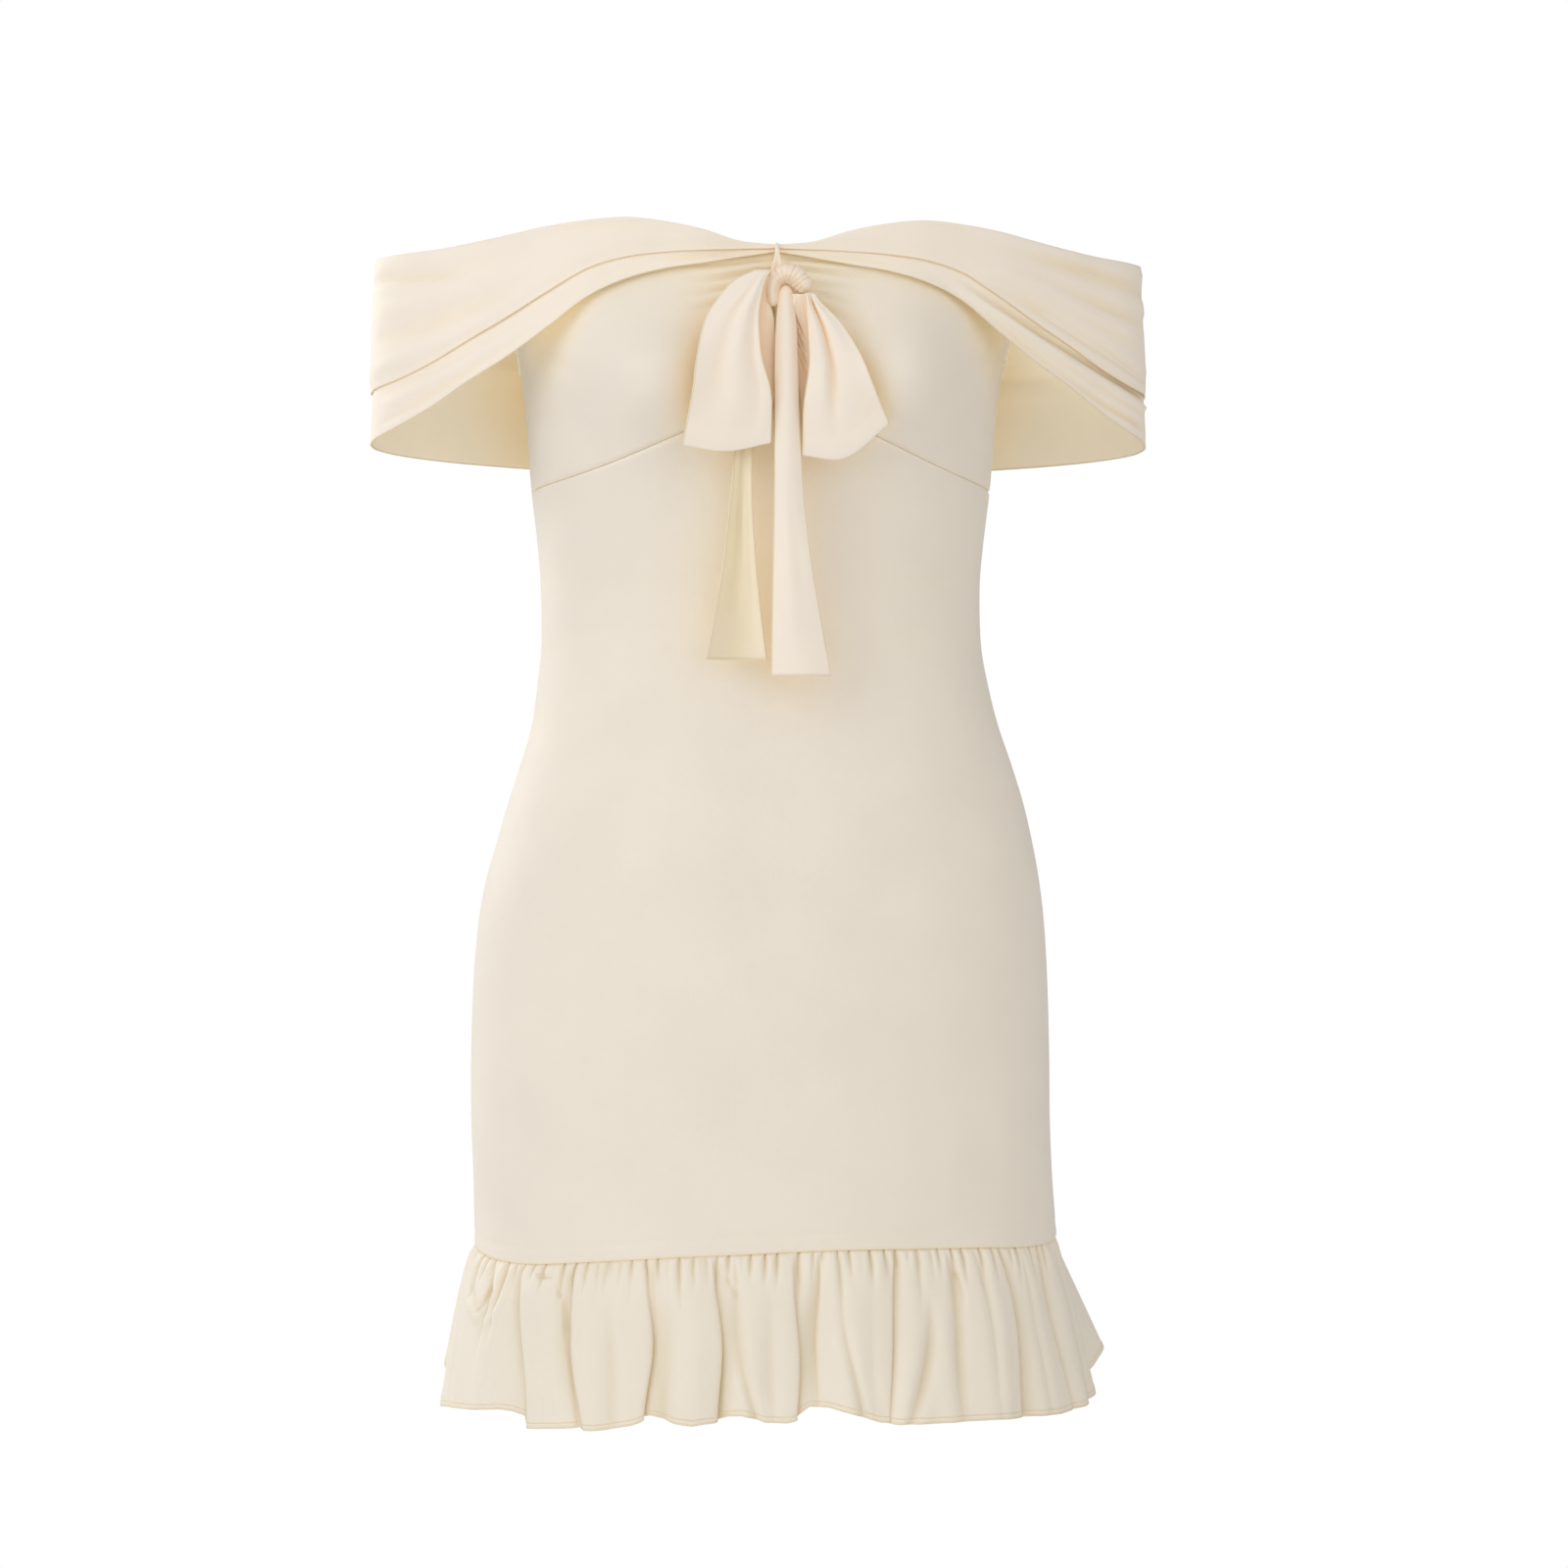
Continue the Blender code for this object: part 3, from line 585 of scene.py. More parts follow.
# seams at the sides, top and bottom, and the stitches of the hem above its edge
def panelRelief(panel):
    def relief(u, v, points):
        seams = seamRoll(np.minimum(u, 1 - u) * bodyShape["halfGirth"])
        for distance, depth, width in (
            (v * panel["high"], 0.6, 1.1), (v * panel["high"] - 9, 0.22, 2.2),
            ((1 - v) * panel["high"], 0.8, 1.1),
        ):
            seams = seams + seamRoll(distance, depth, width)
        return foldField(points[:, 0], points[:, 2], panel["folds"]) + seams + ripple(points, 75, 0.16)
    return relief


frontPlace = panelPlace(-90, panelHem, frontTop)
frontCloth = clothGrid("frontCloth", *front["grid"], frontPlace, panelRelief(front), front["flat"])
dress(frontCloth, "creamBodyKnit", "front_panel", front["flat"], "hung")

# back, in one piece
back = {
    "grid": (140, 170),
    "flat": (0.385, 0.56),
    "high": 540,
    "folds": (
        (-112, -146, -60, -170, 6, -158, 12, -2.4), (116, -158, 66, -182, 4, -172, 12, -2.4),
        (-108, -182, -50, -206, 18, -192, 12, -2.7), (112, -194, 62, -216, 10, -206, 11, -2.4),
        (-100, -220, -44, -238, 10, -226, 12, -2), (-60, -470, -70, -500, -62, -536, 11, -0.4),
        (30, -460, 34, -500, 28, -536, 12, -0.4), (98, -450, 106, -490, 100, -532, 10, -0.4),
    ),
}

backPlace = panelPlace(90, panelHem, neckZ)
backCloth = clothGrid("backCloth", *back["grid"], backPlace, panelRelief(back), back["flat"])
dress(backCloth, "creamBodyKnit", "back_panel", back["flat"], "hung")
print("body panels made")

# off-shoulder band: two tiers in front and two behind
band = {
    "wall": 0.7,
    "spread": 0.045,  # each tier stands off this much more for every millimetre down
    "restingGap": 0.95,  # the upper tier's edge rests on the lower tier
    "tierGap": 1.05,
    "edgeReach": 9.0,  # the tiers come together over this height above their edges
    "folded": 0.16,  # share of the upper tier that is folded over the top
    "clear": 3.18,  # from the body to the band at the top
    "edgeRadius": 0.5,
    # each row holds x, y and the heights of the top, the upper tier's edge and the lower tier's edge
    "frontRows": (
        (0, -103, 0.6, -1.6, -3.4), (20, -103, 2.4, -2.2, -6.4), (40, -103, 8.5, -2.9, -9.8),
        (60, -101, 12.7, -4, -12.8), (80, -98, 15, -6.4, -18), (100, -92, 14, -12.2, -27.2),
        (120, -84, 11.7, -23.7, -42.5), (140, -73.5, 8.2, -36, -57), (160, -61.5, 5, -47.3, -69.3),
        (178, -48, 3, -57.8, -81.5), (196.5, -32, 2.2, -66.5, -92), (207.3, -16, 2, -70, -97.5),
        (210.6, 0, 2, -71.5, -100),
    ),
    "backRows": (
        (210.6, 0, 2, -71.5, -100), (207.3, 16, 2, -73, -101.5), (196.5, 32, 2, -75, -103),
        (178, 47, 2, -77, -104.5), (150, 62, 2.5, -78.5, -106), (110, 76, 3.5, -79.5, -107.5),
        (60, 84, 4, -80, -108), (0, 86, 4, -80, -108),
    ),
    "upperFolds": (
        (-220, -11, -192, -14, -158, -12, 3, -1.3, 0.05, 0.5),
        (-218, -3, -180, -4, -120, 8, 5, 0.8, 0.1, 0.5), (-218, -30, -170, -25, -110, -1, 8, 1.1, 0.1, 0.5),
        (-218, -46, -176, -37, -118, -9, 7, -1, 0.1, 0.5),
        (-218, -60, -176, -50, -130, -26, 6, 0.9, 0.1, 0.5), (-130, 8, -90, 12, -60, 9, 4, -0.6),
        (220, -3, 180, -1, 125, 9, 5, 1.5, 0.1, 0.5), (224, -14, 176, -11, 104, 9, 3.8, -2.2, 0.05, 0.6),
        (224, -24, 180, -20, 110, 3, 6, 0.8, 0.1, 0.5), (216, -42, 165, -22, 100, -4, 5, 2.2, 0.1, 0.5),
        (220, -65, 160, -38, 108, -10, 5, -2.3, 0.05, 0.5), (220, -71, 168, -52, 112, -17, 5, 1, 0.1, 0.5),
        (220, -30, 190, -28, 150, -17, 4, -1.3, 0.1, 0.5),
    ),
    "lowerFolds": (
        (216, -73.5, 150, -48, 88, -8, 2.1, -3, 0.02, 0.5),
        (216, -79.5, 151, -55, 90, -13, 3, 3, 0.02, 0.4), (216, -90, 153, -68, 96, -26, 4, -2.4, 0.05, 0.4),
        (-214, -82, -160, -62, -100, -18, 5, 1.2, 0.1, 0.5),
        (-214, -92, -170, -72, -120, -38, 4, -1.1, 0.1, 0.5), (-70, -8, -40, -6, -12, -4, 2.5, -0.7),
        (70, -9, 40, -7, 12, -5, 2.5, -0.7),
    ),
    "backFolds": (
        (-204, -18, -110, -10, 10, -24, 10, -2.8), (206, -34, 120, -26, 10, -46, 11, -3),
        (-208, -50, -130, -40, -30, -60, 10, -2.6), (208, -12, 140, -6, 50, -20, 9, -2),
        (196, -60, 140, -54, 70, -68, 9, -2),
    ),
}


def bandStation(rows, share):
    path = np.array(rows, float)
    ways = wayAlong(path[:, :2])
    return [curveAt(ways, values, share * ways[-1]) for values in path.T]


def bandOutward(rows, share):
    a = bandStation(rows, np.clip(share - 0.004, 0, 1))
    b = bandStation(rows, np.clip(share + 0.004, 0, 1))
    out = np.stack([b[1] - a[1], a[0] - b[0], 0 * share], axis=1)
    ends = (share < 1e-6) | (share > 1 - 1e-6)
    centre = ends & (np.abs(a[0]) < 5)
    out[centre, 0] = 0
    out[ends & ~centre] = (1, 0, 0)
    return out / np.linalg.norm(out, axis=1, keepdims=True)


def bandPlace(half, tier):
    rows = band["frontRows"] if half < 0 else band["backRows"]
    facing = band["folded"] * tier

    def place(u, v):
        side = np.where(u >= 0.5, 1, -1)
        share = np.abs(2 * u - 1) if half < 0 else 1 - np.abs(2 * u - 1)
        x, y, top, upper, lower = bandStation(rows, share)
        outward = bandOutward(rows, share)
        edge = upper if tier else lower
        rise = np.clip(v / (1 - facing), 0, 1)
        over = np.clip((v - (1 - facing)) / max(facing, 1e-6), 0, 1)
        topZ = top - (0.6 if tier else 1.6)
        z = lerp(edge, topZ, rise)
        resting = band["restingGap"] + band["tierGap"] * ease((z - edge) / band["edgeReach"])
        lift = band["clear"] + tier * resting + band["spread"] * (top - z)
        # over the top edge and down the inside
        roll = np.pi * np.clip(over * 3, 0, 1)
        drop = np.clip(over * 3 - 1, 0, 2) / 2 * np.minimum(10, (top - edge) * 0.5)
        lift = np.where(over > 0, lift - 1.75 * (1 - np.cos(roll)), lift)
        z = np.where(over > 0, z + 0.6 * np.sin(roll) - drop, z)
        points = np.stack([x, y, z], axis=1) + outward * lift[:, None]
        depth = bodyDepth(x, z, "front" if half < 0 else "back") + lift
        onBody = x < bodySize(z, "halfWidth")
        points[:, 1] = np.where(onBody, half * np.maximum(points[:, 1] * half, depth), points[:, 1])
        points[:, 0] *= side
        points[:, 1] = half * np.maximum(points[:, 1] * half, 0.1)
        if half > 0:
            points[:, 0] *= -1
        return points
    return place


def bandRelief(folds):
    def relief(u, v, points):
        fade = ease(v * 12) * ease((0.82 - v) * 8 + 0.3)
        centre = ease(np.abs(points[:, 0]) / 30)
        toArm = np.minimum(u, 1 - u) * bodyShape["halfGirth"]
        lifted = foldField(points[:, 0], points[:, 2], folds) + ripple(points, 45, 0.2)
        return lifted * fade * centre * ease(toArm / 9) + seamRoll(toArm, 0.5, 1.2)
    return relief


bandPieces = {
    "bandUpperFront": (-1, 1, "band_upper_front", "upperFolds", (0.50, 0.055), (280, 40)),
    "bandLowerFront": (-1, 0, "band_lower_front", "lowerFolds", (0.50, 0.058), (280, 44)),
    "bandUpperBack": (1, 1, "band_upper_back", "backFolds", (0.48, 0.100), (180, 36)),
    "bandLowerBack": (1, 0, "band_lower_back", "backFolds", (0.48, 0.112), (180, 36)),
}
for name, (half, tier, node, folds, flat, grid) in bandPieces.items():
    relief = bandRelief(band[folds])
    tierCloth = clothGrid(name, *grid, bandPlace(half, tier), relief, flat, (0.3, 0.6), band["wall"])
    edge = threadEdge(name + "Edge", sideOf(tierCloth, "bottom"), band["edgeRadius"])
    dress(tierCloth, "creamBandKnit", node, flat, "hung", with_pieces=[edge])
print("band made")

# ruffle: fine gathers at the seam run into broad folds at the hem. Its places are arc lengths
# along the seam from the centre, and its levels run from 0 at the seam to 1 at the hem
ruffle = {
    "grid": (720, 46),
    "flat": (0.50, 0.088),
    "stitchAt": 0.028,  # share of its height above the hem
    "puff": 0.9,
    "gatherPitch": 4.3,
    "gatherDepth": 2.9,
    "sway": 5.5,  # how far a fold wanders to the side on its way down
    "tuck": 0.9,  # how far the seam lies inside the body's hem, and above it
    "lobes": ((1.4, 0.115, 1), (1.0, 0.23, 0)),  # depth, turn for each millimetre, and start
    "lateFlare": (110, 60),  # past here, and over this length, the cloth flares out lower down
    # how far the hem stands out from the seam
    "frontOut": ((-217, -200, -175, -130, 0, 130, 175, 200, 217), (11, 19, 19, 19, 18.5, 20, 20, 20.5, 17)),
    "backOut": ((-219, -200, -170, -110, 0, 110, 165, 200, 219), (11, 15.5, 22, 27, 20, 28, 30, 32.5, 18)),
    "backHem": ((-219, -195, -150, 0, 150, 195, 219), (-619, -608.5, -617, -624, -617, -608.5, -620)),
    # a fold's place at the seam, midway and at the hem, its width to the left and to the right,
    # and its depth near the seam, midway and at the hem
    "frontFolds": (
        (-200, -197, -190, 7, 7, 0.6, 1.6, 2), (-168, -166, -166, 2.2, 3, 3.2, 0.8, 0),
        (-155, -161, -164, 3, 2.2, 3, 0.6, 0), (-147, -140, -132.4, 10, 2.2, 3.4, 5, 6),
        (-151, -153, -157, 7, 8, 0, 1.8, 2.8), (-125, -125, -122, 7, 7, 0.8, 1.8, 1.2),
        (-114, -110.5, -101.6, 9, 2.2, 4, 5.4, 4.2), (-118, -116, -105, 1.6, 5, 0.8, 2.6, 2.6),
        (-92, -91, -88, 5, 6, 0.8, 1.8, 1.4), (-73, -70.6, -74, 2.3, 14, 4, 8.4, 10),
        (-62, -60, -62, 2.5, 4, 0.6, 1.6, 3), (-50, -49, -49, 6, 6, 0.4, 1.2, 1),
        (-37, -34.6, -36, 2.3, 14, 4.2, 8.2, 9), (-25.5, -24.6, -15, 2.4, 3, 1.4, 2.6, 3),
        (-8, -8, -6, 5, 5, 0.4, 1.4, 1), (6.5, 6.5, 4.6, 2.2, 15, 4, 8.6, 11),
        (20.4, 18.8, 18.2, 6, 1.8, 3.4, 3.6, 1.8), (31.5, 33, 40, 1.8, 3, 0.8, 2, 2.8),
        (47.5, 47, 47, 5, 5, 0.4, 1, 1.2), (61.6, 56, 54, 2.2, 9, 4.6, 6.4, 4.6),
        (76, 79, 65, 3, 4, 0, 3, 3.2), (91, 92.6, 93, 3, 4.5, 2.4, 3.4, 2),
        (108, 112, 113, 3, 4, 1.8, 2, 1.2), (125.5, 129.4, 127, 2.2, 11, 4, 6.8, 8),
        (142, 144, 146, 3, 4, 1.2, 1.8, 1.4), (157.9, 160.6, 164, 2.4, 9, 3.4, 5, 5.4),
        (180, 186, 185, 3, 5, 1.4, 2.2, 2),
    ),
    "backFolds": (
        (-182, -180, -178, 9, 2, 3, 5, 6), (-160, -158, -160, 4, 5, 1, 2, 2),
        (-143, -141, -139, 2, 10, 3, 6, 7), (-118, -120, -121, 5, 5, 1, 2, 1),
        (-99, -97, -95, 11, 2, 3, 6, 8), (-72, -71, -74, 4, 5, 2, 2, 2), (-52, -50, -47, 2, 9, 3, 5, 7),
        (-28, -27, -24, 6, 5, 1, 2, 2), (-6, -7, -10, 2, 11, 3, 6, 8), (18, 20, 21, 4, 4, 2, 2, 1),
        (37, 38, 41, 9, 2, 3, 5, 6), (60, 60, 57, 4, 5, 1, 2, 2), (82, 81, 84, 2, 10, 3, 6, 8),
        (108, 109, 107, 5, 4, 2, 2, 1), (129, 130, 133, 10, 2, 3, 5, 7), (153, 152, 150, 4, 5, 1, 2, 2),
        (176, 177, 178, 2, 9, 2, 3, 4),
    ),
    # small drags seen from the front
    "drags": (
        (-149, -559, -163, -592, -162, -560, 1.7, -1.5, 0.2, 0.2),
        (-144, -562, -156, -600, -166, -566, 2.2, 1, 0.2, 0.2),
        (-130, -553, -124, -558, -118, -554, 1.8, -1.2, 0.3, 0.3),
        (-118, -560, -110, -574, -112, -590, 1.8, -0.9, 0.2, 0.3),
        (96, -552, 102, -560, 104, -574, 1.8, -1, 0.2, 0.4),
        (-28, -552, -24, -560, -20, -566, 1.6, -1, 0.2, 0.4),
    ),
    # height of the hem along the front
    "hemPlaces": (
        -217, -206, -185, -163, -147, -141, -134, -132, -118, -103.5, -101.5, -91, -79, -74, -69, -63,
        -57, -47, -38, -29, -22, -17, -10, 0, 6, 13, 23, 36, 49, 58, 72, 109, 129, 153, 173, 200, 217,
    ),
    "hemHeights": (
        -619, -633.4, -630.6, -628.4, -626.4, -627, -629.4, -635.8, -634.4, -632.8, -634.6, -633.8,
        -631.4, -627, -626, -627.4, -629.5, -630.7, -629.3, -626.2, -625.6, -626.8, -629.2, -629.6,
        -627, -621.4, -621.6, -625.4, -630, -631.5, -631.6, -631.5, -632.7, -633.4, -632.4, -629.6,
        -620,
    ),
}


def crease(off, left, right):
    wide = np.where(off > 0, right, left)
    return np.exp(-((np.abs(off) / wide) ** 1.4))


# a trough between two rounded lobes, sharp at its bottom
def foldTrough(off, left, right):
    return 0.55 * crease(off, left, right) + 0.45 * bell(off, np.maximum(left, right) * 1.1)


# how far the folds sink in, and how far each one's upper side is drawn over it
def ruffleTroughs(arc, level, folds):
    sunk, drawn = np.zeros_like(arc), np.zeros_like(arc)
    for top, middle, low, left, right, atTop, midway, atHem in folds:
        off = arc - curveAt((0, 0.5, 1), (top, middle, low), level)
        off = off - ruffle["sway"] * level * (1 - level) * np.sin(4 * level + 0.7 * top)
        depth = curveAt((0, 0.1, 0.25, 0.6, 1), (0, atTop * 0.8, atTop, midway, atHem), level)
        opened = 0.45 + 0.55 * ease(level / 0.5)
        sunk += depth * foldTrough(off, left * opened, right * opened)
        if abs(left - right) > 3:
            way = 1 if right > left else -1
            drawn += way * 0.38 * depth * bell(off + way * 2.2, 2.2)
    return sunk, drawn


# short sharp gathers of uneven length just under the seam
def ruffleGathers(arc, level, span):
    total = np.zeros_like(arc)
    count = int(2 * span / ruffle["gatherPitch"])
    for k in range(1, count):
        place = -span + k * ruffle["gatherPitch"] + 1.7 * math.sin(k * 2.1)
        long = 0.13 + 0.14 * abs(math.sin(k * 1.7 + 1)) + (0.22 if k % 5 == 2 else 0)
        off = arc - place - 5 * math.sin(k * 3.1) * level
        depth = ruffle["gatherDepth"] * (0.55 + 0.45 * math.sin(k * 2.9 + 0.6))
        wide = 0.9 + 6 * level
        total += depth * crease(off, wide, wide) * ease(level / 0.02 + 0.35) * ease(1 - level / long)
    return total


def rufflePlace(half):
    angles = np.linspace(90 * half, 90 * half + 180, 3601)
    ways = wayAlong(bodyPoint(angles, 0 * angles + bodyShape["hemZ"])[:, :2])
    span = ways[-1] / 2
    folds = ruffle["frontFolds"] if half < 0 else ruffle["backFolds"]

    def place(u, v):
        level = 1 - v
        arc = (2 * u - 1) * span * -half
        sunk, drawn = ruffleTroughs(arc, level, folds)
        inside = ease((span - np.abs(arc)) / 10)
        angle = np.interp(u * 2 * span - drawn * inside * half, ways, angles)
        z0 = 0 * angle + bodyShape["hemZ"]
        seam, outward = bodyPoint(angle, z0), bodyNormal(angle, z0)
        outward[:, 2] = 0
        outward /= np.linalg.norm(outward, axis=1, keepdims=True)
        late = ease((arc - ruffle["lateFlare"][0]) / ruffle["lateFlare"][1])
        spread = curveAt(*ruffle["frontOut" if half < 0 else "backOut"], arc)
        lobes = sum(deep * level * np.sin(arc * turn + start) for deep, turn, start in ruffle["lobes"])
        puffed = ruffle["puff"] * ease(level / 0.09) + 1.6 * level - ruffle["tuck"]
        out = spread * lerp(level**0.62, level**0.95, late) + puffed + bodyShape["skin"]
        out = out + (lobes - sunk - ruffleGathers(arc, level, span)) * inside
        if half < 0:
            bottom = np.interp(arc, ruffle["hemPlaces"], ruffle["hemHeights"])
        else:
            bottom = curveAt(*ruffle["backHem"], arc) + 0.4 * sunk * inside
        z = lerp(hemZ(seam[:, 0]) + ruffle["tuck"], bottom, level)
        out = np.where(level < 0.012, np.minimum(out, bodyShape["skin"] - ruffle["tuck"]), out)
        points = np.stack([seam[:, 0], seam[:, 1], z], axis=1) + outward * out[:, None]
        points[:, 1] = half * np.maximum(points[:, 1] * half, 0.1)
        return points
    return place


def ruffleDrags(u, v, points):
    return foldField(points[:, 0], points[:, 2], ruffle["drags"]) * (points[:, 1] < 0)


for name, node, half in (("ruffleFront", "ruffle_front", -1), ("ruffleBack", "ruffle_back", 1)):
    place = rufflePlace(half)
    ruffleCloth = clothGrid(name, *ruffle["grid"], place, ruffleDrags, ruffle["flat"], pack=(0, 0.5))
    edge = threadEdge(name + "Edge", sideOf(ruffleCloth, "bottom"), 0.7)
    along = np.linspace(0, 1, 500)
    stitch = threadEdge(name + "HemStitch", place(along, 0 * along + ruffle["stitchAt"]), 0.32)
    dress(ruffleCloth, "creamRuffleKnit", node, ruffle["flat"], "gathered", with_pieces=[edge, stitch])
print("ruffle made")

# bow: two loops, two tails, a knot, and the keeper that holds it at the neckline
bow = {
    "wall": 0.7,
    "ribbon": (48, 95),  # across, and down the face of a loop
    "tailWidth": 30,
    "clear": 3.7,  # from the body to the bow
    "ahead": 117.2,  # and where the band holds it off
}

# each row holds the share of the way down, then the left and right side of the face and of the rear
bowLoops = {
    "bowLoopLeft": {
        "node": "bow_loop_left",
        "flat": (0.19, 0.040),
        "rows": (
            (0, -12, -5.2, -11, -5.6), (0.055, -23, -7.8, -20, -5.6), (0.155, -32, -10.2, -28, -5.6),
            (0.28, -39.5, -11.9, -36, -2.5), (0.5, -44.6, -11.2, -43, -0.6), (0.7, -46.8, -6.2, -46, -1),
            (0.86, -49.2, -4.9, -49, -4), (1, -51.5, -4.9, -51.5, -4.9),
        ),
        "top": -15.4, "bottom": (-109, -112, -107.5), "puff": 6,
        "folds": (
            (43, 0, 30, 22, 25, 95, 9, 1.3, 0.15, 0.3), (46, 6, 41, 40, 40, 86, 5, -0.5, 0.3, 0.35),
            (40, 0, 20, 20, 12, 88, 8, -0.6, 0.2, 0.3), (48, 22, 47, 58, 44, 95, 4, 0.7, 0.3, 0.2),
            (36, 2, 24, 12, 8, 34, 3, 0.4, 0.2, 0.5),
        ),
    },
    "bowLoopRight": {
        "node": "bow_loop_right",
        "flat": (0.165, 0.038),
        "rows": (
            (0, 13.6, 18.4, 7, 18), (0.07, 14, 21.5, 7, 21), (0.22, 15.2, 31.5, 7.6, 30),
            (0.45, 16, 41.5, 9.6, 40), (0.7, 13.2, 48.8, 11.4, 48), (0.86, 12.8, 53.8, 12.6, 53.5),
            (1, 12.8, 58.7, 12.8, 58.7),
        ),
        "top": -27.5, "bottom": (-114.2, -115, -96.8), "puff": 5.5,
        "folds": (
            (12, 0, 11, 30, 9, 84, 8, 1.8, 0.1, 0.4), (27, 0, 21, 24, 21, 90, 4.2, -2.3, 0.12, 0.4),
            (36, 0, 34, 30, 36, 88, 9, 0.8, 0.2, 0.4), (15, 0, 14, 5, 12, 12, 1.8, -0.8, 0.2, 0.5),
        ),
        "rearFolds": (
            (-1, 8, 7, 15, 14, 27, 1.9, -1.6, 0.1, 0.3), (-1, 14, 6, 23, 12, 35, 1.9, -1.7, 0.1, 0.3),
            (-1, 21, 5, 30, 11, 43, 1.9, -1.6, 0.1, 0.3), (-1, 29, 4, 37, 9, 50, 1.9, -1.3, 0.1, 0.3),
        ),
    },
}


def loopPlace(loop):
    rows = np.array(loop["rows"], float)

    def place(u, v):
        turn = np.abs(2 * u - 1)
        down = 1 - turn**1.6
        rear = 0.5 - 0.5 * np.cos(np.pi * u)
        here = [curveAt(rows[:, 0], values, down) for values in rows.T[1:]]
        x = lerp(lerp(here[0], here[2], rear), lerp(here[1], here[3], rear), v)
        z = lerp(loop["top"], curveAt((0, 0.5, 1), loop["bottom"], v), down)
        swell = loop["puff"] * (0.45 + 0.55 * np.sin(np.pi * np.minimum(down * 1.15, 1)))
        halfDepth = swell * np.sqrt(np.maximum(1 - down**6, 0))
        crown = 1.8 * np.sin(np.pi * v) * np.sin(np.pi * down)
        rest = softMax(bodyDepth(x, z, "front") + bow["clear"], bow["ahead"])
        ahead = u < 0.5
        y = rest + loop["puff"] * 0.9 + np.where(ahead, halfDepth + crown, -halfDepth)
        return np.stack([x, -y, z], axis=1)
    return place


def loopRelief(loop):
    def relief(u, v, points):
        down = 1 - np.abs(2 * u - 1) ** 1.6
        ahead = ease((0.5 - u) * 10 + 0.5)
        across, along = v * bow["ribbon"][0], down * bow["ribbon"][1]
        lifted = foldField(across, along, loop["folds"]) * (0.25 + 0.75 * ahead)
        # the rear layer faces away, so its pleats are sunk the other way
        lifted = lifted - foldField(across, along, loop.get("rearFolds", ())) * (1 - ahead)
        return lifted * ease((1 - down) * 9)
    return relief


def bowEdges(name, cloth, *sides):
    return [threadEdge(name + "Edge" + side.title(), sideOf(cloth, side), 0.6) for side in sides]


for name, loop in bowLoops.items():
    place, relief = loopPlace(loop), loopRelief(loop)
    loopCloth = clothGrid(name, 180, 56, place, relief, loop["flat"], (0, 0.3), bow["wall"], doubled=True)
    edges = bowEdges(name, loopCloth, "top", "bottom")
    dress(loopCloth, "creamBowKnit", loop["node"], loop["flat"], "folded", with_pieces=edges)

# each row holds the height, the left and right side, the place ahead and the swell outward
bowTails = {
    "bowTailMiddle": {
        "node": "bow_tail_middle",
        "flat": (0.019, 0.21),
        "rows": (
            (-22.6, 2.2, 5.4, 117.8, 0.4), (-27, 0.2, 7.2, 118.6, 2), (-36, -0.8, 8.4, 119.4, 2.6),
            (-44, -1.5, 9.2, 120.2, 2.8), (-62, -2.2, 9.8, 121.2, 3), (-95, -2.3, 10.6, 122, 2.6),
            (-130, -2.3, 12.6, 120.5, 2.4), (-165, -2.6, 16.5, 117.5, 2.6), (-200, -3, 22.5, 114.5, 3),
            (-231, -3.2, 28.3, 112, 3.4),
        ),
        "folds": (
            (12, 90, 10, 150, 9, 205, 6, 0.6, 0.4, 0.31), (20, 120, 22, 160, 22, 205, 6, -0.4, 0.4, 0.31),
        ),
    },
    "bowTailLeft": {
        "node": "bow_tail_left",
        "flat": (0.017, 0.20),
        "rows": (
            (-26, -5.6, -1.4, 113, 0), (-50, -10, -3.5, 113.2, -0.2), (-75, -16, -7.5, 113.4, -0.5),
            (-100, -21.5, -13, 113.6, -1.2), (-130, -24.5, -14.5, 113, -3), (-165, -28, -12.5, 111, -5.5),
            (-195, -32.5, -9.5, 109, -7), (-222, -37.5, -6, 107.5, -8),
        ),
        "folds": (
            (12, 40, 14, 100, 16, 160, 4, -0.5), (20, 100, 19, 140, 18, 190, 4, 0.7),
        ),
    },
}


def tailPlace(tail):
    rows = np.array(tail["rows"], float)

    def place(u, v):
        z = lerp(rows[-1, 0], rows[0, 0], v)
        left, right, ahead, bowOut = [curveAt(rows[:, 0], values, z) for values in rows.T[1:]]
        x = lerp(left, right, u)
        return np.stack([x, -(ahead + 1.2 + bowOut * np.sin(np.pi * u)), z], axis=1)
    return place


def tailRelief(tail):
    drop = tail["rows"][0][0] - tail["rows"][-1][0]

    def relief(u, v, points):
        return foldField(u * bow["tailWidth"], (1 - v) * drop, tail["folds"]) * ease((1 - v) * 8)
    return relief


for name, tail in bowTails.items():
    place, relief = tailPlace(tail), tailRelief(tail)
    tailCloth = clothGrid(name, 30, 110, place, relief, tail["flat"], (0.3, 0), bow["wall"])
    edges = bowEdges(name, tailCloth, "left", "right", "bottom")
    # painted shade: the turned-over left tail wears a darker, yellower painted copy of the bow cloth
    facing = "creamTailInsidePaintedShade" if name == "bowTailLeft" else "creamBowKnit"  # the left one is turned over
    dress(tailCloth, facing, tail["node"], tail["flat"], "hung", with_pieces=edges)

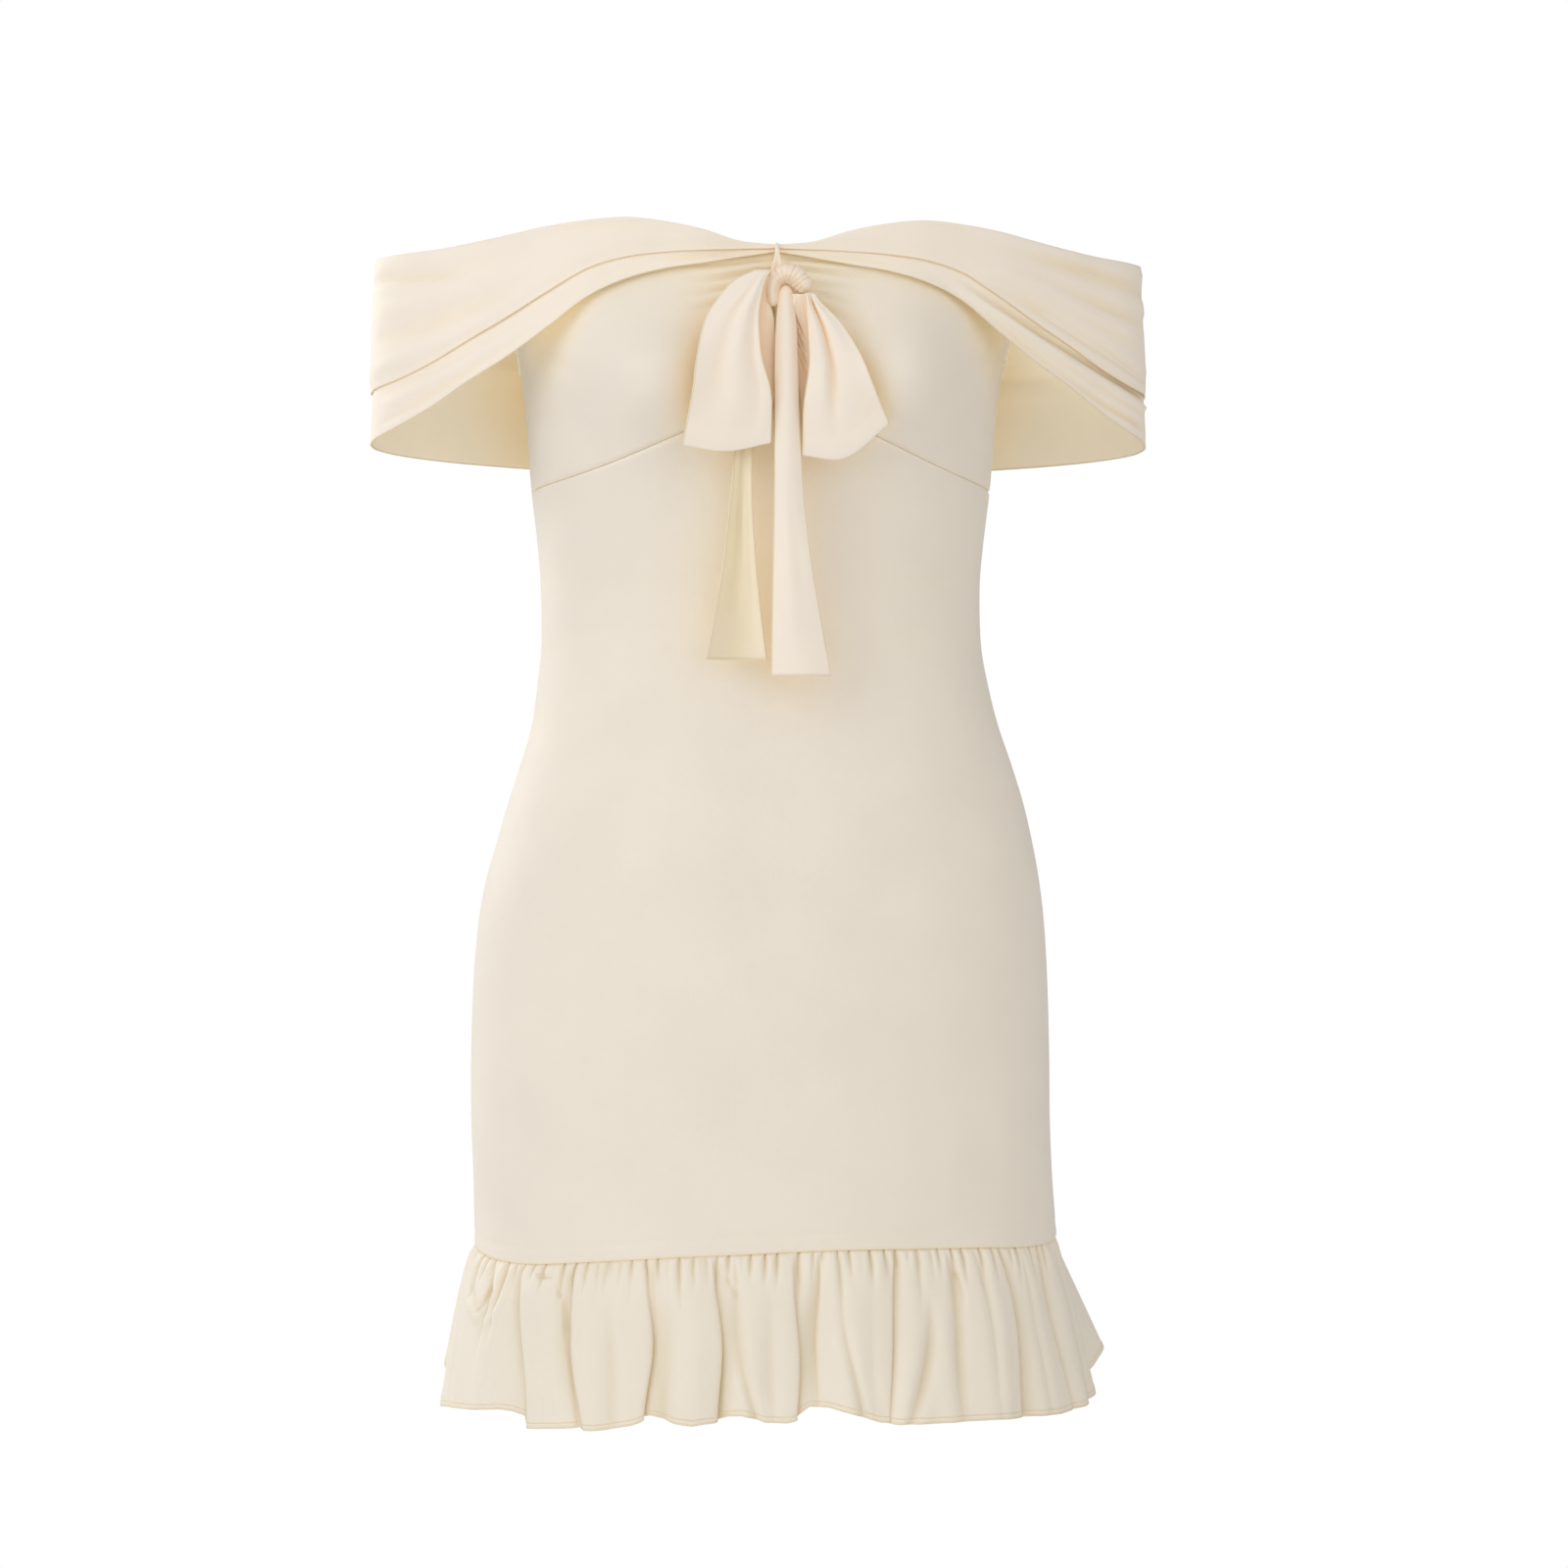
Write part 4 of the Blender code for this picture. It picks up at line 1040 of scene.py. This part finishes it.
# each row holds a place along the roll, from the left, and its radius there
knot = {
    "flat": (0.040, 0.030),
    "rows": (
        (-2.6, -33.6, 2.4), (-3.2, -29.5, 3.1), (-3.2, -24.6, 3.3), (-1.4, -19.6, 4), (3.2, -16.8, 4.9),
        (8.2, -17.6, 5.2), (12.2, -21.4, 4.9), (15.8, -25.8, 4.2),
    ),
    "front": 118.6,
    "lengthways": ((0.5, 0.5), (1.9, 0.45), (4.4, 0.5)),  # turn round the roll, and depth
    "across": (0.40, 0.47, 0.54, 0.605, 0.665, 0.73, 0.80, 0.86, 0.93),  # places along the roll
    "acrossDepth": 0.8,
}


def knotPlace(u, v):
    rows = np.array(knot["rows"], float)
    keys = np.linspace(0, 1, len(rows))
    x, z, radius = [curveAt(keys, values, u) for values in rows.T]
    dx, dz = [slopeAt(keys, values, u, 0.01) for values in rows.T[:2]]
    length = np.hypot(dx, dz) + 1e-9
    around = -2 * np.pi * v
    pleat = np.zeros_like(u)
    for turn, depth in knot["lengthways"]:
        off = np.angle(np.exp(1j * (around + turn - 0.5 * np.sin(3 * u))))
        pleat -= depth * bell(off, 0.22) * ease((0.55 - u) * 5)
    for k, place in enumerate(knot["across"]):
        slant = 0.02 * np.cos(around) + 0.008 * np.sin(2 * around + k)
        uneven = 0.6 + 0.4 * np.sin(2.3 * k + around)
        pleat -= knot["acrossDepth"] * uneven * bell(u - place - slant, 0.013)
    end = np.sqrt(np.maximum(1 - (1 - np.clip(np.minimum(u, 1 - u) / 0.09, 0, 1)) ** 2, 0))
    size = (radius + pleat) * end
    side, ahead = size * np.cos(around), size * np.sin(around)
    return np.stack([x - dz / length * side, ahead - knot["front"], z + dx / length * side], axis=1)


knotCloth = clothGrid("bowKnot", 150, 48, knotPlace, None, knot["flat"], (0, 0), bow["wall"], joined=True)
dress(knotCloth, "creamBowKnit", "bow_knot", knot["flat"], "folded")

keeper = {
    "flat": (0.010, 0.028),  # a strip turned into a narrow tube
    "halfWidths": (1.1, 1.0, 1.0, 1.5, 3.3, 4.6),  # from behind the neckline down to the knot
    "halfDepth": 0.7,
    "path": (
        (-102.9, -12), (-102.5, -4), (-103.5, -0.4), (-107.4, -0.2), (-109.7, -3), (-110.9, -9),
        (-111.8, -15), (-112.2, -20),
    ),
}


def keeperPlace(u, v):
    path = np.array(keeper["path"], float)
    ways = wayAlong(path)
    at = v * ways[-1]
    y, z = [curveAt(ways, values, at) for values in path.T]
    dy, dz = [slopeAt(ways, values, at, 0.5) for values in path.T]
    length = np.hypot(dy, dz)
    around = 2 * np.pi * u
    halfWidth = curveAt(np.linspace(0, 1, 6), keeper["halfWidths"], v)
    split = 1.5 * ease((v - 0.55) * 3) * bell(np.sin(around), 0.45) * np.clip(np.cos(around), 0, 1)
    out = 0.6 + keeper["halfDepth"] * np.cos(around) - split
    across = -halfWidth * np.sin(around)
    return np.stack([across, y + dz / length * out, z - dy / length * out], axis=1)


keeperCloth = clothGrid("keeperStrip", 32, 44, keeperPlace, None, keeper["flat"], (0, 0), 0.4, joined=True)
dress(keeperCloth, "creamBowKnit", "keeper", keeper["flat"], "folded")
print("bow made")

# clear hanging tapes at the underarms
tape = {
    "radius": 0.6,
    "clear": 2.3,  # from the body to the middle of the tape
    "path": (  # the place ahead of the side, and the height
        (9, -33), (9.2, -42), (9.8, -52), (12, -59), (15.4, -61.5), (18.6, -58.5), (20.2, -51), (19.8, -42),
        (18, -33),
    ),
}


def makeTape(name, node, side, raised):
    path = np.array(tape["path"], float) + (0, raised)
    keys = np.arange(len(path))
    at = np.linspace(0, len(path) - 1, 61)
    ahead, z = curveAt(keys, path[:, 0], at), curveAt(keys, path[:, 1], at)
    turn = np.arccos((ahead / bodySize(z, "front")) ** (bodySize(z, "power") / 2))
    angle = np.degrees(turn) * side
    onBody = bodyPoint(angle, z) + bodyNormal(angle, z) * tape["clear"]
    piece = threadEdge(name, onBody, tape["radius"], 1.4)
    piece.data.materials.clear()
    piece.data.materials.append(clearTape)
    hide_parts(node)


makeTape("hangerTapeLeft", "hanger_loop_left", -1, 0.0)
makeTape("hangerTapeRight", "hanger_loop_right", 1, 6.0)
print("tapes made")

# floor, light and backdrop
studio = {
    "floorDrop": 1250.0,
    "floorRadius": 2300.0,
    "ambient": 0.575,
    # each light's place and size in metres, then its power and colour
    "lights": (
        ("keyLight", (-2.5, -1.6, 0.9), 2.6, 35, (0.98, 0.985, 1.0)),
        ("topLight", (-0.3, -2.0, 1.5), 2.4, 8, (1.0, 0.97, 0.92)),
        ("fillLight", (1.5, -2.1, 0.5), 2.6, 15, (1.0, 0.95, 0.88)),
        ("lowLight", (-0.5, -1.8, -1.7), 2.4, 22, (1.0, 0.94, 0.83)),
        ("backLight", (-2.0, 2.0, 1.0), 1.5, 40, (1.0, 0.97, 0.93)),
    ),
}


def makeStudio():
    bm = bmesh.new()
    bmesh.ops.create_circle(bm, cap_ends=True, segments=96, radius=studio["floorRadius"] * mm)
    bmesh.ops.translate(bm, verts=bm.verts, vec=(0, 0, -studio["floorDrop"] * mm))
    mesh = bpy.data.meshes.new("paleFloor")
    bm.to_mesh(mesh)
    bm.free()
    floor = addObject("paleFloor", mesh)
    paint = newMaterial("paleFloor", {"Base Color": (0.86, 0.86, 0.86, 1), "Roughness": 0.8})[0]
    mesh.materials.append(paint)
    target = Vector((0, 0, -0.3))
    for name, place, size, power, colour in studio["lights"]:
        lamp = bpy.data.lights.new(name, "AREA")
        lamp.size = size
        lamp.energy = power
        lamp.color = colour
        light = addObject(name, lamp)
        light.location = place
        light.rotation_euler = (target - Vector(place)).to_track_quat("-Z", "Y").to_euler()
    world = bpy.data.worlds.new("whiteStudio")
    world.use_nodes = True
    nodes, link = world.node_tree.nodes, world.node_tree.links.new
    soft = nodes["Background"]
    soft.inputs["Color"].default_value = (1, 0.985, 0.96, 1)
    soft.inputs["Strength"].default_value = studio["ambient"]
    seen = addNode(world.node_tree, "ShaderNodeBackground", {"Color": (1, 1, 1, 1)})
    path = nodes.new("ShaderNodeLightPath")
    mixed = nodes.new("ShaderNodeMixShader")
    link(path.outputs["Is Camera Ray"], mixed.inputs["Fac"])
    link(soft.outputs["Background"], mixed.inputs[1])
    link(seen.outputs["Background"], mixed.inputs[2])
    link(mixed.outputs["Shader"], nodes["World Output"].inputs["Surface"])
    bpy.context.scene.world = world


makeStudio()
bpy.context.scene.view_settings.view_transform = "Standard"
print("studio made")
